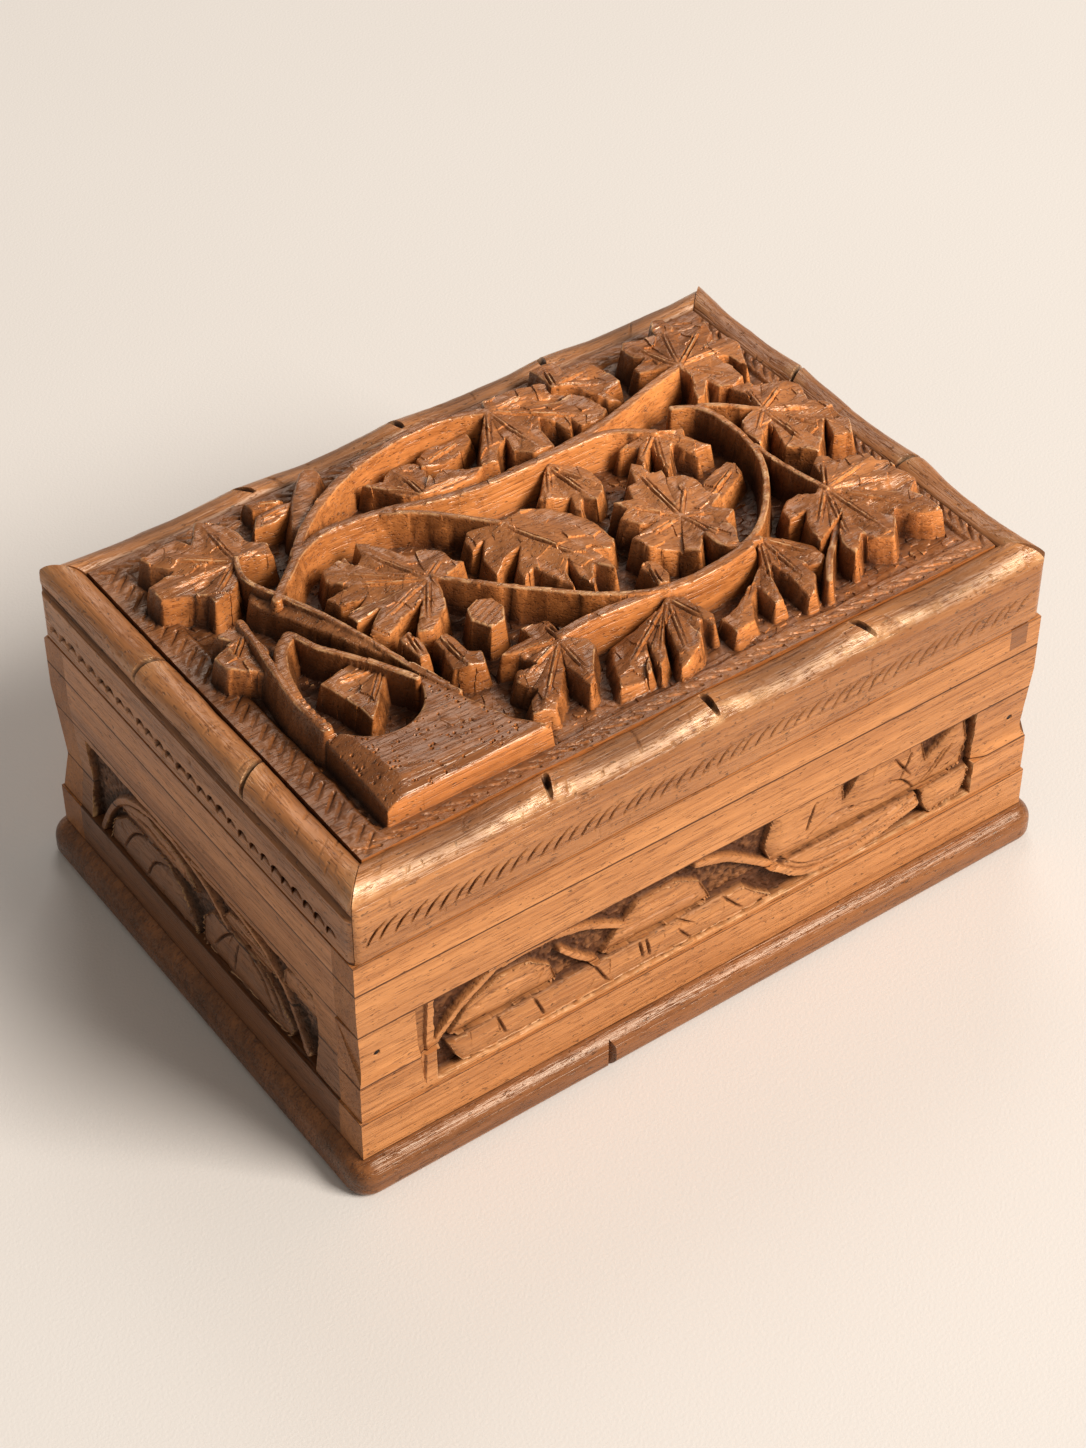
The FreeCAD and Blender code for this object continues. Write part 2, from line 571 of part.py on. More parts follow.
def wall_prism(side, outline, stretch):
    """Solid behind a drawn outline on one side, down to the carving's ground."""
    inward = wall_point(side, 0, 0, CARVING_INSET) - wall_point(side, 0, 0, 0)
    return prism([wall_point(side, u * stretch, Z_CARVED + height, 0) for u, height in outline], inward)


def carving_waste(side, recess, stems, leaves, stretch):
    """Wood that is cut from one side around its carved stems and leaves."""
    waste = wall_prism(side, recess, stretch)
    for outline in leaves + [stem_outline(points, width) for width, points in stems]:
        waste = waste.cut(wall_prism(side, outline, stretch))
    return waste


def front_carving():
    low = FRONT_CARVING_FOOT - SLIDE_HEIGHT
    left, right = FRONT_CARVING
    recess = [(left, low), (right, low), (right, CARVED_HEIGHT), (left, CARVED_HEIGHT)]
    stretch = (INNER_X - FRONT_CARVING_END) / FRONT_CARVING_U
    return carving_waste("front", recess, FRONT_STEMS, FRONT_LEAVES, stretch)


def side_carving(side):
    """Carving of the left wall, or its mirror image on the right wall."""
    turn = 1 if side == "left" else -1
    high = CARVED_HEIGHT - SIDE_CARVING_HEAD
    left, right = SIDE_CARVING
    recess = [(left, -SLIDE_HEIGHT), (right, -SLIDE_HEIGHT), (right, high), (left, high)]
    stretch = turn * (INNER_Y - SIDE_CARVING_END) / SIDE_CARVING_U
    return carving_waste(side, recess, SIDE_STEMS, SIDE_LEAVES, stretch)


def wall_nodes():
    """All wall boards by node name, before holes are made in them."""
    nodes = {}
    rails = {"bottom_rail": BOTTOM_LEVELS, "upper_rail": UPPER_LEVELS, "top_rail": TOP_LEVELS}
    for name, levels in rails.items():
        for side, board in wall_boards(levels).items():
            nodes[name + "_" + side] = board
    panels = wall_boards(PANEL_LEVELS)
    nodes["left_carved_panel"] = panels["left"].cut(side_carving("left"))
    nodes["right_carved_panel"] = panels["right"].cut(side_carving("right"))
    nodes["back_panel"] = panels["back"]
    nodes["front_carved_panel"] = wall_boards(CARVED_LEVELS)["front"].cut(front_carving())
    return nodes


def add_hinges(nodes):
    """Adds leaves, pins and screws, and cuts their seats in the back rail and the back moulding."""
    sides = {"left": -HINGE_X, "right": HINGE_X}
    body_screws = []
    lid_screws = []
    for side, x in sides.items():
        body_leaf = hinge_leaf(x, Z_RIM - LEAF_THICKNESS, True, PIN_RADIUS)
        lid_leaf = hinge_leaf(x, Z_LID, False, PIN_RADIUS + PIN_CLEARANCE)
        for hole in hinge_screws(x, Z_RIM, False, SCREW_CLEARANCE):
            body_leaf = body_leaf.cut(hole)
        for hole in hinge_screws(x, Z_LID, True, SCREW_CLEARANCE):
            lid_leaf = lid_leaf.cut(hole)
        nodes["hinge_leaf_body_" + side] = body_leaf
        nodes["hinge_leaf_lid_" + side] = lid_leaf
        nodes["hinge_pin_" + side] = axis_cylinder(x, PIN_RADIUS, HINGE_LENGTH)
        body_screws += hinge_screws(x, Z_RIM, False, 0.0)
        lid_screws += hinge_screws(x, Z_LID, True, 0.0)
        rail_seat = hinge_pocket(x, Z_RIM - LEAF_THICKNESS, Z_RIM)
        lid_seat = hinge_pocket(x, Z_LID, Z_LID + LEAF_THICKNESS)
        nodes["top_rail_back"] = nodes["top_rail_back"].cut(rail_seat)
        nodes["lid_moulding_back"] = nodes["lid_moulding_back"].cut(lid_seat)
    nodes["top_rail_back"] = nodes["top_rail_back"].cut(Part.makeCompound(body_screws))
    nodes["lid_moulding_back"] = nodes["lid_moulding_back"].cut(Part.makeCompound(lid_screws))
    nodes["hinge_screws_body"] = Part.makeCompound(body_screws)
    nodes["hinge_screws_lid"] = Part.makeCompound(lid_screws)


def build():
    """Every node of the box by name."""
    nodes = wall_nodes()
    patch = rail_patch()
    nodes["top_rail_front"] = nodes["top_rail_front"].cut(patch)
    nodes["rail_patch"] = patch

    layers = [middle(TOP_LEVELS), middle(UPPER_LEVELS), middle(BOTTOM_LEVELS)]
    front_nails = layer_nails("front", layers + [middle(CARVED_LEVELS)])
    back_nails = layer_nails("back", layers + [(Z_CARVED, WAIST_INSET)])
    all_nails = Part.makeCompound(front_nails + back_nails)
    for name in list(nodes):
        nodes[name] = nodes[name].cut(all_nails)
    nodes["wall_nails_front"] = Part.makeCompound(front_nails)
    nodes["wall_nails_back"] = Part.makeCompound(back_nails)

    nodes["front_slide"] = front_slide()
    upper_groove = tongue(Z_CARVED, HALF_LENGTH, SLIDE_CLEARANCE)
    lower_groove = tongue(Z_SLIDE - TONGUE_HEIGHT, HALF_LENGTH, SLIDE_CLEARANCE)
    nodes["front_carved_panel"] = nodes["front_carved_panel"].cut(upper_groove)
    nodes["bottom_rail_front"] = nodes["bottom_rail_front"].cut(lower_groove)
    nodes["slide_stop_peg"] = stop_peg()
    nodes["right_carved_panel"] = nodes["right_carved_panel"].cut(stop_peg())

    base_holes = Part.makeCompound(base_screws(SCREW_CLEARANCE) + screw_recesses())
    nodes["base_board"] = base_board().cut(base_holes)
    nodes["base_screws"] = Part.makeCompound(base_screws(0.0))
    for side in ("front", "back"):
        name = "bottom_rail_" + side
        nodes[name] = nodes[name].cut(nodes["base_screws"])

    nodes["false_floor"] = false_floor()
    nodes["floor_cleat_left"] = floor_cleat(-1)
    nodes["floor_cleat_right"] = floor_cleat(1)

    nodes["lid_panel"] = lid_panel()
    for side, bar in lid_mouldings().items():
        nodes["lid_moulding_" + side] = bar.cut(stop_chamfer(Z_LID, 1))
    nodes["top_rail_back"] = nodes["top_rail_back"].cut(stop_chamfer(Z_RIM, -1))
    add_hinges(nodes)
    return nodes


os.makedirs("parts", exist_ok=True)
for node_name, shape in build().items():
    shape.exportStep("parts/" + node_name + ".step")
    print(node_name, len(shape.Solids), round(shape.Volume, 1), shape.isValid())
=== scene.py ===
import math

import bpy
import numpy as np
from mathutils import Matrix, Vector


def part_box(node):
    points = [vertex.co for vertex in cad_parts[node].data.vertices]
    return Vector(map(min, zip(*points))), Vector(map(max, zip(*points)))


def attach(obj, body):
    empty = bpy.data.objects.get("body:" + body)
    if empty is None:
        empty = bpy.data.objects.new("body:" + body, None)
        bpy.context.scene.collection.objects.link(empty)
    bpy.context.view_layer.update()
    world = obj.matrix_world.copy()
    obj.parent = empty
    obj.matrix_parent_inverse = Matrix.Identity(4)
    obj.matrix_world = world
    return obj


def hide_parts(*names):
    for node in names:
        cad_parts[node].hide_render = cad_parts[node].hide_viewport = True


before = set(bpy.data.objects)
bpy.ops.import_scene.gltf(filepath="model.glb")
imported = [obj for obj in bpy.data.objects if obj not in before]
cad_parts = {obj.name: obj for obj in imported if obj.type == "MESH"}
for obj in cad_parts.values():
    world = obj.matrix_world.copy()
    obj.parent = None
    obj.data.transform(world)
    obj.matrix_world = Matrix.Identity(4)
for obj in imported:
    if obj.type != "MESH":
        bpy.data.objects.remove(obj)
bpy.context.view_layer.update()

MM = 0.001
ALONG_X = 0
ALONG_Y = 1

# Camera, fitted to the photograph's corners
CAMERA_PLACE = (-0.3359, -0.4663, 0.5743)
CAMERA_AZIMUTH = -35.75
CAMERA_ELEVATION = 42.91
CAMERA_LENS = 78.6
SENSOR_WIDTH = 36.0

# Lights and floor, in metres
LIGHT_TARGET = (0, 0, 0.05)
KEY_PLACE = (1.31, -2.27, 2.35)
SHEEN_PLACE = (0.95, 1.35, 1.75)
FLOOR_HALF = 4.0

# Fineness of the meshes: steps in millimetres, and rows of points over a height
LID_STEP = 0.21
LID_TRIANGLES = 190000
MOULDING_STEP = 0.27
MOULDING_FINE_STEP = 0.13
MOULDING_FINE_REACH = 2.2
RISE_ROWS = 30
DIP_ROWS = 16
FRONT_STEP = 0.2
SIDE_STEP = 0.22
PANEL_ROWS = 80
STRIP_ROWS = 56
SIDE_ROWS = 128

# Angles in degrees from which an edge counts as sharp or gets a bevel
SHARP_ANGLE = 38
BEVEL_ANGLE = 35

# Sizes that the node boxes don't give, in millimetres as all sizes below
BOX_HALF_X = 100.0
BOX_HALF_Y = 68.5
WALL = 9.5
PANEL_FACE = 93.5
LEDGE = 84.0
LEDGE_WIDTH = 3.0
LID_CORNER = 3.0
ROLL_WIDTH = 9.0
ROLL_HEIGHT = 8.0
LONG_NODES = (-47.0, 0.0, 47.0)
SHORT_NODES = (-23.5, 23.5)
HINGE_X = 55.0
HINGE_HALF = 12.9
HINGE_AXIS_Y = 66.4
HINGE_SEAT = (3.6, 7.6)
HINGE_SEAT_HEIGHT = 1.05
HINGE_CHANNEL = 1.5
HINGE_CHANNEL_HEIGHT = 2.0
STOP_SLOPE = math.tan(math.radians(50))
SEAM = 33.5
WAIST_INSET = 2.0
NECK_INSET = 1.0
SLIDE_INSET = 0.5
CARVED_INSET = 3.7
TONGUE = (5.35, 7.85)
TONGUE_REACH = 2.0
TONGUE_TAPER = 0.01
GROOVE = (5.1, 8.1)
GROOVE_REACH = 2.2
STRIP_BACK = 9.3
PEG_SLOT_X = (34.0, 96.5)
PEG_SLOT_Z = (26.4, 29.1)
PEG_SLOT_FLOOR = 7.1
NAIL_X = 94.0
NAIL_RADIUS = 0.95
NAIL_DEPTH = 0.6

# Small distances that keep points of a mesh apart
SLIVER = 0.05
HAIR = 0.002

# Seams between boards: height and half-width of the dark line, dirt in the joints and a wider painted shadow
# line at the lid's seam
SEAMS = ((10.0, 0.2), (22.0, 0.2), (SEAM, 0.2), (50.0, 0.2), (64.0, 0.2), (73.25, 0.6))

# Lid rolls: places on a roll run from 0 at its foot through 1 at its crest to 2 at the panel.
# Belly: depth and drop below the crest. Nick: first and last place.
# Rub and highlight: strength and end of the wear and of the painted highlight along the roll.
LONG_ROLL = {
    "quirk": 0.0, "belly": (1.8, 2.2), "top": 6.2, "shade": 0.55,
    "nick": (0.45, 1.4), "nick_half": 0.8, "nick_depth": 2.4, "rub_and_highlight": (1.0, 1.0),
}
SHORT_ROLL = {
    "quirk": 1.3, "belly": (0.25, 4.5), "top": 4.5, "shade": 0.05,
    "nick": (0.2, 2.0), "nick_half": 0.55, "nick_depth": 1.7, "rub_and_highlight": (0.6, 2.0),
}

# Gouge marks below the rolls: reach, pitch and height
STROKE = (2.5, 3.8, 80.4)
CRESCENT = (2.1, 4.5, 77.9)
STROKE_HALF = 0.42
GOUGE_REACH = 3.2

# Lid relief: the points are drawn as seen from the camera, so a lower form lies further back
RELIEF_HEIGHT = 8.5
SIGHT = (0.63, 0.87)
GROUND_DEPTH = 1.0
FIELD = ((-82.0, 86.5), (-53.0, 53.5))
TRUNK = [(-79.5, -53), (-79.5, -30), (-78, -23), (-51, -23), (-46.5, -35), (-42, -46), (-36, -53)]
TRUNK_HEIGHT = 8.0
LOOP = (-65.0, -22.6)
LOOP_RADIUS = 13.0
TRUNK_PITS = 190
STUB = [
    (-32, -16), (-30.5, -12.2), (-26.8, -10.6), (-23.5, -12.2), (-23, -16.4), (-25.4, -20.2), (-29.4, -20.6),
]
STUB_HEIGHT = 8.4
LADDER_CUTS = 8
LADDER_X = (-78.2, -73.8)
LADDER_Y = -29.0
LADDER_PITCH = 2.0
THICK_STEM = 1.85

# Stems: width at the crest, heights at both ends, and points
STEMS = [
    (1.9, 8.4, 8.6, [(-78, -26), (-79, -18), (-78, -9), (-76.6, 0), (-75.6, 8), (-75, 14)]),
    (1.8, 8.4, 7.6, [(-53, -25), (-56, -19), (-60.5, -11), (-65.5, -3), (-68, 4), (-72, 1), (-76, -6)]),
    (1.5, 6.9, 9.2, [(-47, -33), (-51, -21), (-54, -9), (-57.5, 3), (-61.5, 13), (-66.5, 25),
                     (-64.5, 33)]),
    (2.2, 8.6, 8.6, [(-64, 16), (-57, 22), (-50, 27.5), (-42, 30.2), (-34, 30), (-24, 28), (-14, 25),
                     (-2, 23), (10, 23), (22, 23.6), (34, 25), (46, 28), (56, 31), (66, 33.5)]),
    (2.4, 8.6, 8.4, [(-52, 27), (-46, 33), (-38, 39), (-28, 44.5), (-18, 48), (-8, 50), (2, 50.4),
                     (10, 48.6), (16, 46)]),
    (1.5, 8.6, 9.0, [(-27, 28), (-20, 23.5), (-13, 16.5), (-6.5, 9)]),
    (1.9, 8.6, 8.4, [(10, 23), (22, 22.8), (32, 22.5), (38, 20.5), (44.5, 15.5)]),
    (1.7, 8.7, 8.8, [(53.5, 20.5), (58.5, 17.5), (60.7, 12), (61, 3), (59.5, -6), (55.5, -14), (49, -22),
                     (42, -28), (34, -31.5), (24, -33), (14, -33), (5, -31)]),
    (2.6, 8.2, 8.6, [(-18, -31.5), (-8, -31), (4, -32), (14, -33.5), (26, -33.5), (36, -32)]),
    (1.5, 9.0, 9.1, [(-30, 2), (-22, -7), (-13, -16), (-4, -24.5), (4, -30), (11, -33)]),
    (1.4, 8.8, 8.9, [(61, -3), (61.6, -12), (63, -20), (64.5, -26)]),
    (1.4, 8.8, 8.6, [(59.5, 17.5), (65, 13.5), (71, 8)]),
    (1.5, 8.7, 8.5, [(31, -23), (31.2, -27), (34, -30.5), (40, -31)]),
    (5.0, 6.8, 5.6, [(-45, 35), (-40, 43), (-33, 51)]),
    (3.0, 8.2, 7.8, [(-78.3, -27), (-78.6, -18), (-76.8, -8), (-73, 0), (-68.5, 4)]),
    (1.7, 5.8, 6.2, [(44, -52.5), (49, -46.5), (54, -42), (60, -36)]),
]

# Leaves: height at the stem, fall to the tips, fold along the veins, stem point, vein ends and outline
LEAVES = [
    (8.6, 1.0, 1.0, (-64.5, 33), [(-77, 43), (-84, 33.5), (-64, 48), (-57, 34), (-75, 25)],
     [(-63.5, 33.5), (-60, 31.5), (-56.3, 30), (-54.8, 35), (-58.3, 38), (-58.6, 43), (-61, 47.5),
      (-65, 51), (-66.8, 48.5), (-70, 44.5), (-72, 48.6), (-77, 48), (-82.3, 46.8), (-82, 43),
      (-78.3, 38.2), (-86, 37), (-86.2, 30.5), (-80.5, 27.5), (-76, 26.3), (-76.3, 23), (-70, 24.6),
      (-67.3, 27)]),
    (7.6, 0.4, 0.5, (-77, 9.5), [(-83, 4)],
     [(-75, 14.5), (-77, 13.5), (-82.7, 13.2), (-80.5, 9.6), (-86.6, 7), (-86.2, 2.6), (-79.6, -4),
      (-74.8, 2.5)]),
    (6.6, 0.6, 0.4, (-57, -17), [(-70, -15.5), (-68, -28)],
     [(-56.5, -17), (-58, -15.8), (-61.8, -12), (-72, -14), (-70.5, -19.5), (-69, -24), (-68.5, -30.5),
      (-64.5, -27), (-60, -21.5), (-56.5, -18.5)]),
    (8.6, 1.6, 0.8, (-31.5, 2), [(-48, 10.5), (-39, 19), (-50, 17), (-50, -5), (-41, -12), (-25, 6)],
     [(-30, 0.5), (-27.5, 0.3), (-21.2, 2.2), (-23.3, 4), (-23.2, 8.5), (-27, 12), (-31.2, 12),
      (-33.5, 17.5), (-38.2, 22.8), (-40, 17.5), (-42.8, 15.5), (-43.3, 19.5), (-50, 18.8), (-52.3, 14),
      (-48.2, 10.3), (-55.3, 9), (-54.2, 4.5), (-47.5, 4), (-54.3, 1.5), (-53.5, -1.5), (-46.5, -0.5),
      (-53, -6), (-50.5, -10), (-44, -6.5), (-36.8, -3.5), (-44.5, -12.5), (-41, -14), (-34, -9),
      (-31.5, -4)]),
    (8.7, 1.2, 1.5, (-6.5, 8.8), [(2.8, -13.5)],
     [(-6, 9.5), (-2, 9.2), (0.5, 10.2), (5.5, 7.8), (9, 3.5), (11.8, -1), (12.4, -6), (12.2, -11.5),
      (9.5, -13.8), (6, -11.5), (6.5, -16), (6, -20.4), (2.5, -16.5), (0.3, -19.5), (-2, -23.5),
      (-3, -18), (-1.2, -11.3), (-4.5, -15), (-6.3, -21), (-8.5, -17), (-10.5, -10.3), (-15, -13.5),
      (-14.5, -9.5), (-8, -1.6), (-14, -4), (-19.5, -8.5), (-19, -2), (-14, 4.7), (-18.8, 2.5), (-18, 7),
      (-15.5, 9.6), (-9.5, 9)]),
    (7.4, -1.5, 0.8, (30, -14), [(31.5, 7), (21, -3), (18, -16), (39, -18), (38, -5), (33, -27)],
     [(31, -29), (34.5, -30), (37.2, -26), (37.5, -22), (41.6, -19.6), (38, -15.5), (42.8, -13),
      (41, -10.5), (41.2, -5.5), (39.5, -1.8), (36.3, -0.2), (36.8, 2.6), (33.8, 3.3), (33.9, 6.5),
      (32.2, 8.6), (30, 6.5), (28.5, 2), (26, 1.8), (24.5, -2.5), (19.5, -1), (20.5, -5), (17, -7),
      (20.5, -10.5), (24, -12.5), (15, -14.3), (16.5, -19.5), (21, -24.5), (25.5, -27.5), (29.5, -23)]),
    (7.8, 2.0, 1.4, (44, 15), [(50, 12.5), (51, 5), (37, 1), (35, 8)],
     [(43, 15.5), (46, 14.6), (51.2, 12.8), (49.5, 10.2), (51.5, 7), (53, 3.6), (47.6, 3), (46.5, 0),
      (44.7, 8.5), (40, 3), (36.5, -1), (39.5, 6), (40.2, 11.3), (34, 5.5), (35, 9.5), (38, 13),
      (33, 14.5), (38, 15.8)]),
    (6.8, 1.5, 1.5, (15.5, 20), [(17, 5), (21, 9), (9, 10)],
     [(15.8, 20.5), (18, 19), (21.5, 15.5), (23, 12), (23, 8), (21, 4.5), (17.5, 2.5), (14.5, 4.5),
      (12, 1), (11, 2.5), (12.5, 6.5), (7.5, 9.5), (6.5, 11), (9.5, 14), (13.5, 18.5)]),
    (7.4, 1.0, 1.2, (-15, 28.5), [(-15.5, 38), (-23, 37), (0, 28.5)],
     [(-18.5, 28.7), (-20.5, 30.5), (-22.3, 36), (-25.3, 39.8), (-20.2, 38), (-19, 39.5), (-14.5, 41.5),
      (-10, 40), (-8.5, 37), (-10, 34.5), (-9.5, 32), (-6.5, 34), (-3, 31.5), (3, 29), (-1, 26),
      (-10, 25.5), (-14, 27.5)]),
    (6.2, 1.0, 1.0, (-8, 38), [(5, 41)],
     [(-9.5, 37.5), (-8.5, 41), (-4, 43), (1, 42), (6.8, 43), (6.5, 39.5), (3, 37), (-1, 35),
      (-5, 34.8)]),
    (8.3, 2.4, 1.3, (15.8, 45.8), [(37, 29.5), (18, 28), (7, 32), (30, 46)],
     [(15.5, 46.2), (17, 50), (26, 50), (33.5, 48), (35, 45), (39.5, 37), (41, 30), (37.5, 27), (31, 27),
      (31, 32), (27.8, 27), (27, 32), (24.8, 36.5), (22.5, 32), (21.6, 25.2), (15.5, 25.4), (11.5, 29),
      (13.6, 34.8), (9.5, 32), (6.5, 28), (2.5, 29.3), (5.5, 34), (10.5, 40.5)]),
    (7.8, 1.5, 1.2, (35.5, 45), [(37.5, 52), (47, 46), (48, 38)],
     [(34.5, 45), (34.5, 50), (34, 53.5), (41, 53), (41.5, 48), (47.5, 49), (49.5, 45), (49.8, 42.5),
      (50.3, 37), (46, 35), (43.5, 34), (44.5, 28.5), (41.5, 30), (40.5, 35.5), (38.5, 41)]),
    (8.5, 1.0, 0.8, (65.5, 33), [(80, 43), (72, 50), (61, 46), (82, 33), (74, 22), (62, 21)],
     [(64, 33.6), (59.5, 35.5), (55.5, 36.2), (55.3, 38.5), (60, 40.5), (58, 42), (57.6, 47), (60, 49.5),
      (64.5, 48), (68.8, 46.8), (69.3, 50), (71.5, 52.5), (74.5, 52), (74.5, 47), (73, 46), (79, 44),
      (82.5, 44.5), (81.5, 40), (77.5, 37), (83.5, 36), (84, 32), (81.5, 27), (80, 23.5), (78.5, 29),
      (76, 31), (76.5, 25), (76, 20.5), (72, 18.7), (68.5, 20.3), (67.5, 24), (63.5, 20), (60.5, 19),
      (62.5, 23), (65.5, 28)]),
    (8.4, 2.0, 1.0, (71.5, 7), [(82, 12.5), (73.5, 17), (84, 0), (82, -10), (72, -11), (64, 0)],
     [(71, 8.5), (71.5, 14), (70.5, 18.8), (74.5, 19), (77.5, 16), (80.5, 14.5), (84.5, 13), (85.8, 10),
      (85.5, 8), (83.5, 4), (86.5, 1), (86.5, -3), (87, -8), (84, -13), (79, -11.5), (82, -4.5),
      (76.5, -10.5), (72.5, -14), (70, -11), (66.5, -8.5), (69, -1), (69, 1.8), (62.5, -3.5), (62, 2),
      (64, 6), (68, 7.8)]),
    (8.5, 1.8, 1.0, (64, -26),
     [(70.5, -17), (80.5, -23), (82.5, -32), (79.5, -45), (66.5, -47), (56, -46), (53, -37)],
     [(63, -24.5), (66.5, -22), (68, -17), (70.5, -15.2), (73, -16.5), (73.5, -19.8), (77, -19.3),
      (81.5, -21.5), (81.5, -24.5), (83.8, -26.5), (83.5, -30), (84.5, -36), (80.5, -38.5), (82.5, -43),
      (82, -48.7), (77, -47.5), (72.3, -42.5), (69, -46.5), (66, -49.5), (62.5, -48), (60.3, -44),
      (57, -47.5), (54.3, -49.5), (54.5, -44), (57, -40), (61.5, -35.5), (55, -39), (50.8, -41),
      (51, -37), (53, -33), (55, -30), (50, -30.3), (50.2, -27), (54, -24), (58, -24), (61, -26)]),
    (7.6, 3.6, 1.6, (40, -31.5), [(47.5, -43), (40, -50), (32, -47), (20, -50)],
     [(39, -31.5), (42, -32), (46, -36.5), (49, -41), (48.8, -45), (46, -47.5), (42.5, -44.5),
      (42.8, -49), (39, -54), (36, -55), (37.3, -46), (36.3, -40.3), (33.5, -44), (31, -52), (28.5, -52),
      (28.8, -44.5), (25, -48), (21, -54), (15, -55), (15, -49), (21, -47.5), (27.5, -43.5),
      (34.5, -39)]),
    (7.4, 4.2, 1.6, (9, -36), [(12.5, -47), (1, -55), (-5, -52), (-14, -51)],
     [(9, -35.8), (12.5, -37.5), (14.5, -46.5), (12.3, -50), (10.8, -46.3), (8.5, -50), (5, -54),
      (-1, -57), (-3, -57.5), (0, -52), (4, -41.5), (0.5, -46), (-3, -52), (-7, -55), (-3.5, -45),
      (-9, -54.5), (-18, -54.5), (-14.5, -47), (-11.5, -42), (-4, -40.5), (3, -38.5)]),
    (7.8, 2.6, 1.6, (-19.5, -33), [(-19, -26.5), (-32, -30), (-34.5, -39), (-35, -49), (-21, -47)],
     [(-18.5, -32.5), (-17.6, -29), (-17.5, -26), (-19.5, -25.2), (-24.5, -25), (-24, -28.5),
      (-29, -28.3), (-34, -30.5), (-30.5, -33), (-28.5, -37), (-33.5, -36.2), (-35.8, -39), (-33.5, -44),
      (-36.5, -46), (-39, -50), (-34, -52), (-29, -47.5), (-24.5, -42), (-23.3, -44.5), (-23, -50),
      (-20.5, -48), (-17, -43), (-14, -39.5), (-13.8, -36.5), (-17, -34)]),
    (7.2, 1.0, 1.5, (-41, -17), [(-41, -27)],
     [(-43, -17), (-39.2, -16.5), (-38.4, -19), (-38.2, -24.3), (-35.8, -25.5), (-37.5, -30),
      (-41, -28.5), (-45, -27.5), (-44.5, -24), (-43, -21)]),
    (5.4, 0.5, 1.0, (-44, 43), [(-53, 43)],
     [(-44, 43), (-41.5, 44.5), (-46, 45.5), (-52, 45.3), (-55, 41), (-50, 40), (-46, 41)]),
    (5.0, 0.5, 1.0, (-45, 46.5), [(-50, 49)],
     [(-52, 51), (-47.5, 49.5), (-43.5, 46.5), (-49, 45.7), (-52, 47)]),
    (8.3, 0.2, 2.0, (-64, 25), [(-46, -29)],
     [(-71.5, 17), (-66.5, 24), (-61.5, 13), (-57.5, 3), (-54, -9), (-51, -21), (-48, -31), (-51, -25),
      (-54.5, -18), (-58.5, -10), (-63, -1), (-67, 7), (-70, 13)]),
    (6.2, 0.6, 1.6, (41, -12), [(52.5, -6)],
     [(40, -9), (43, -6.5), (48, -4.6), (52, -3.8), (53.2, -5.5), (52.3, -9.5), (47.5, -12), (43, -14.5),
      (40.5, -15.5)]),
    (7.6, 0.3, 1.0, (-46.5, -11.5), [(-47.6, -19.5)],
     [(-49, -12), (-46, -11.3), (-44.8, -14), (-46, -20), (-48.5, -19.7), (-49.3, -15)]),
    (6.4, 0.5, 1.4, (11, -31), [(13, -24)],
     [(10.5, -31), (11, -26), (10.5, -24), (12, -22.8), (14.5, -23), (15.3, -25), (15, -29), (13, -32)]),
]

# Wall carvings: u to the right as seen from outside, heights above the strip's upper seam
FRONT_FIELD = (-78.5, 82.0)
FRONT_POST = [(-83.6, 18), (-80.6, 18), (-80.8, -1), (-82.4, -1)]
STRIP_POINT = [(-83.0, 1), (-81.4, 1), (-82.0, -9.5)]
FRONT_STEMS = [
    (1.6, [(-78, 0.5), (-72, 8), (-63, 15)]),
    (1.4, [(-63, 15.5), (-48, 16), (-36, 13), (-25, 6.5)]),
    (1.3, [(-43, 9.5), (-38, 4), (-33, -0.5)]),
    (1.8, [(-4, 14.5), (5, 11), (12, 6), (20, -0.5), (28, -6.5), (38, -8.5), (50, -7.5), (64, -4)]),
]
FRONT_LEAVES = [
    [(-74, 0), (-69, 7), (-60, 11.5), (-52, 11), (-46, 6), (-44, 0)],
    [(-31, 0), (-26, 6.5), (-21, 11.5), (-10, 12), (-3, 8), (1, 0)],
    [(20, 0), (17, 7), (19, 17), (39.5, 17), (41, 9), (46, 17), (64.5, 17), (67, 8), (78, 17), (80, 9),
     (79, 0)],
    [(-75, -1), (10, -1), (14, -5), (19, -9), (-71, -9), (-73, -6)],
    [(66, -1), (81, -1), (80.5, -5), (79, -8.5), (69, -9.5), (67, -6)],
    [(22, -0.8), (64, -0.8), (65, -4), (52, -7.5), (38, -8.3), (28, -6)],
]
FRONT_CUTS = [
    [(-61.5, -1), (-59.5, -7)], [(-51, -1.5), (-48.5, -8)], [(-34, -1), (-30, -8.5)],
    [(-20.8, -1.5), (-20, -6.5)], [(-18.8, -1.5), (-18, -7)], [(-9.5, -3.5), (-5.5, -9)],
    [(-9, -1), (-5, -4)], [(4, -1), (10, -8)], [(29.5, 6), (31, 12.5), (32, 14)],
    [(30, 3), (36, 6.5), (44, 6)], [(36, 3.5), (44, 5.5), (52, 3.5)], [(55, 8), (60, 5.5), (64, 0.5)],
    [(56.5, 14.5), (62, 6.5)], [(59, 7), (61.5, 14)], [(66, 1), (73, 9)],
    [(22, 0.5), (30, -4.6), (40, -6.2), (52, -5.2), (64, -1.6)], [(34, -2.5), (46, -3.6), (58, -1.6)],
    [(20, -0.2), (40, 0.2), (64, -0.3)], [(68, 1), (75, 9.5)], [(73, 2), (79, 5)],
    [(-70, 5), (-60, 8), (-50, 6.5)], [(-27, 4), (-16, 5), (-4, 4)],
]
SIDE_FIELD = (-53.5, 48.5)
SIDE_STEMS = [
    (1.5, [(-49, -12), (-46, -4), (-41, 3), (-33, 9), (-23, 12), (-12, 12.3), (-2, 10), (4, 6.5), (9, 2)]),
    (1.5, [(-4, 12.5), (8, 13), (18, 12.5), (27, 9), (34, 3.5), (39, -3), (45, -9)]),
]
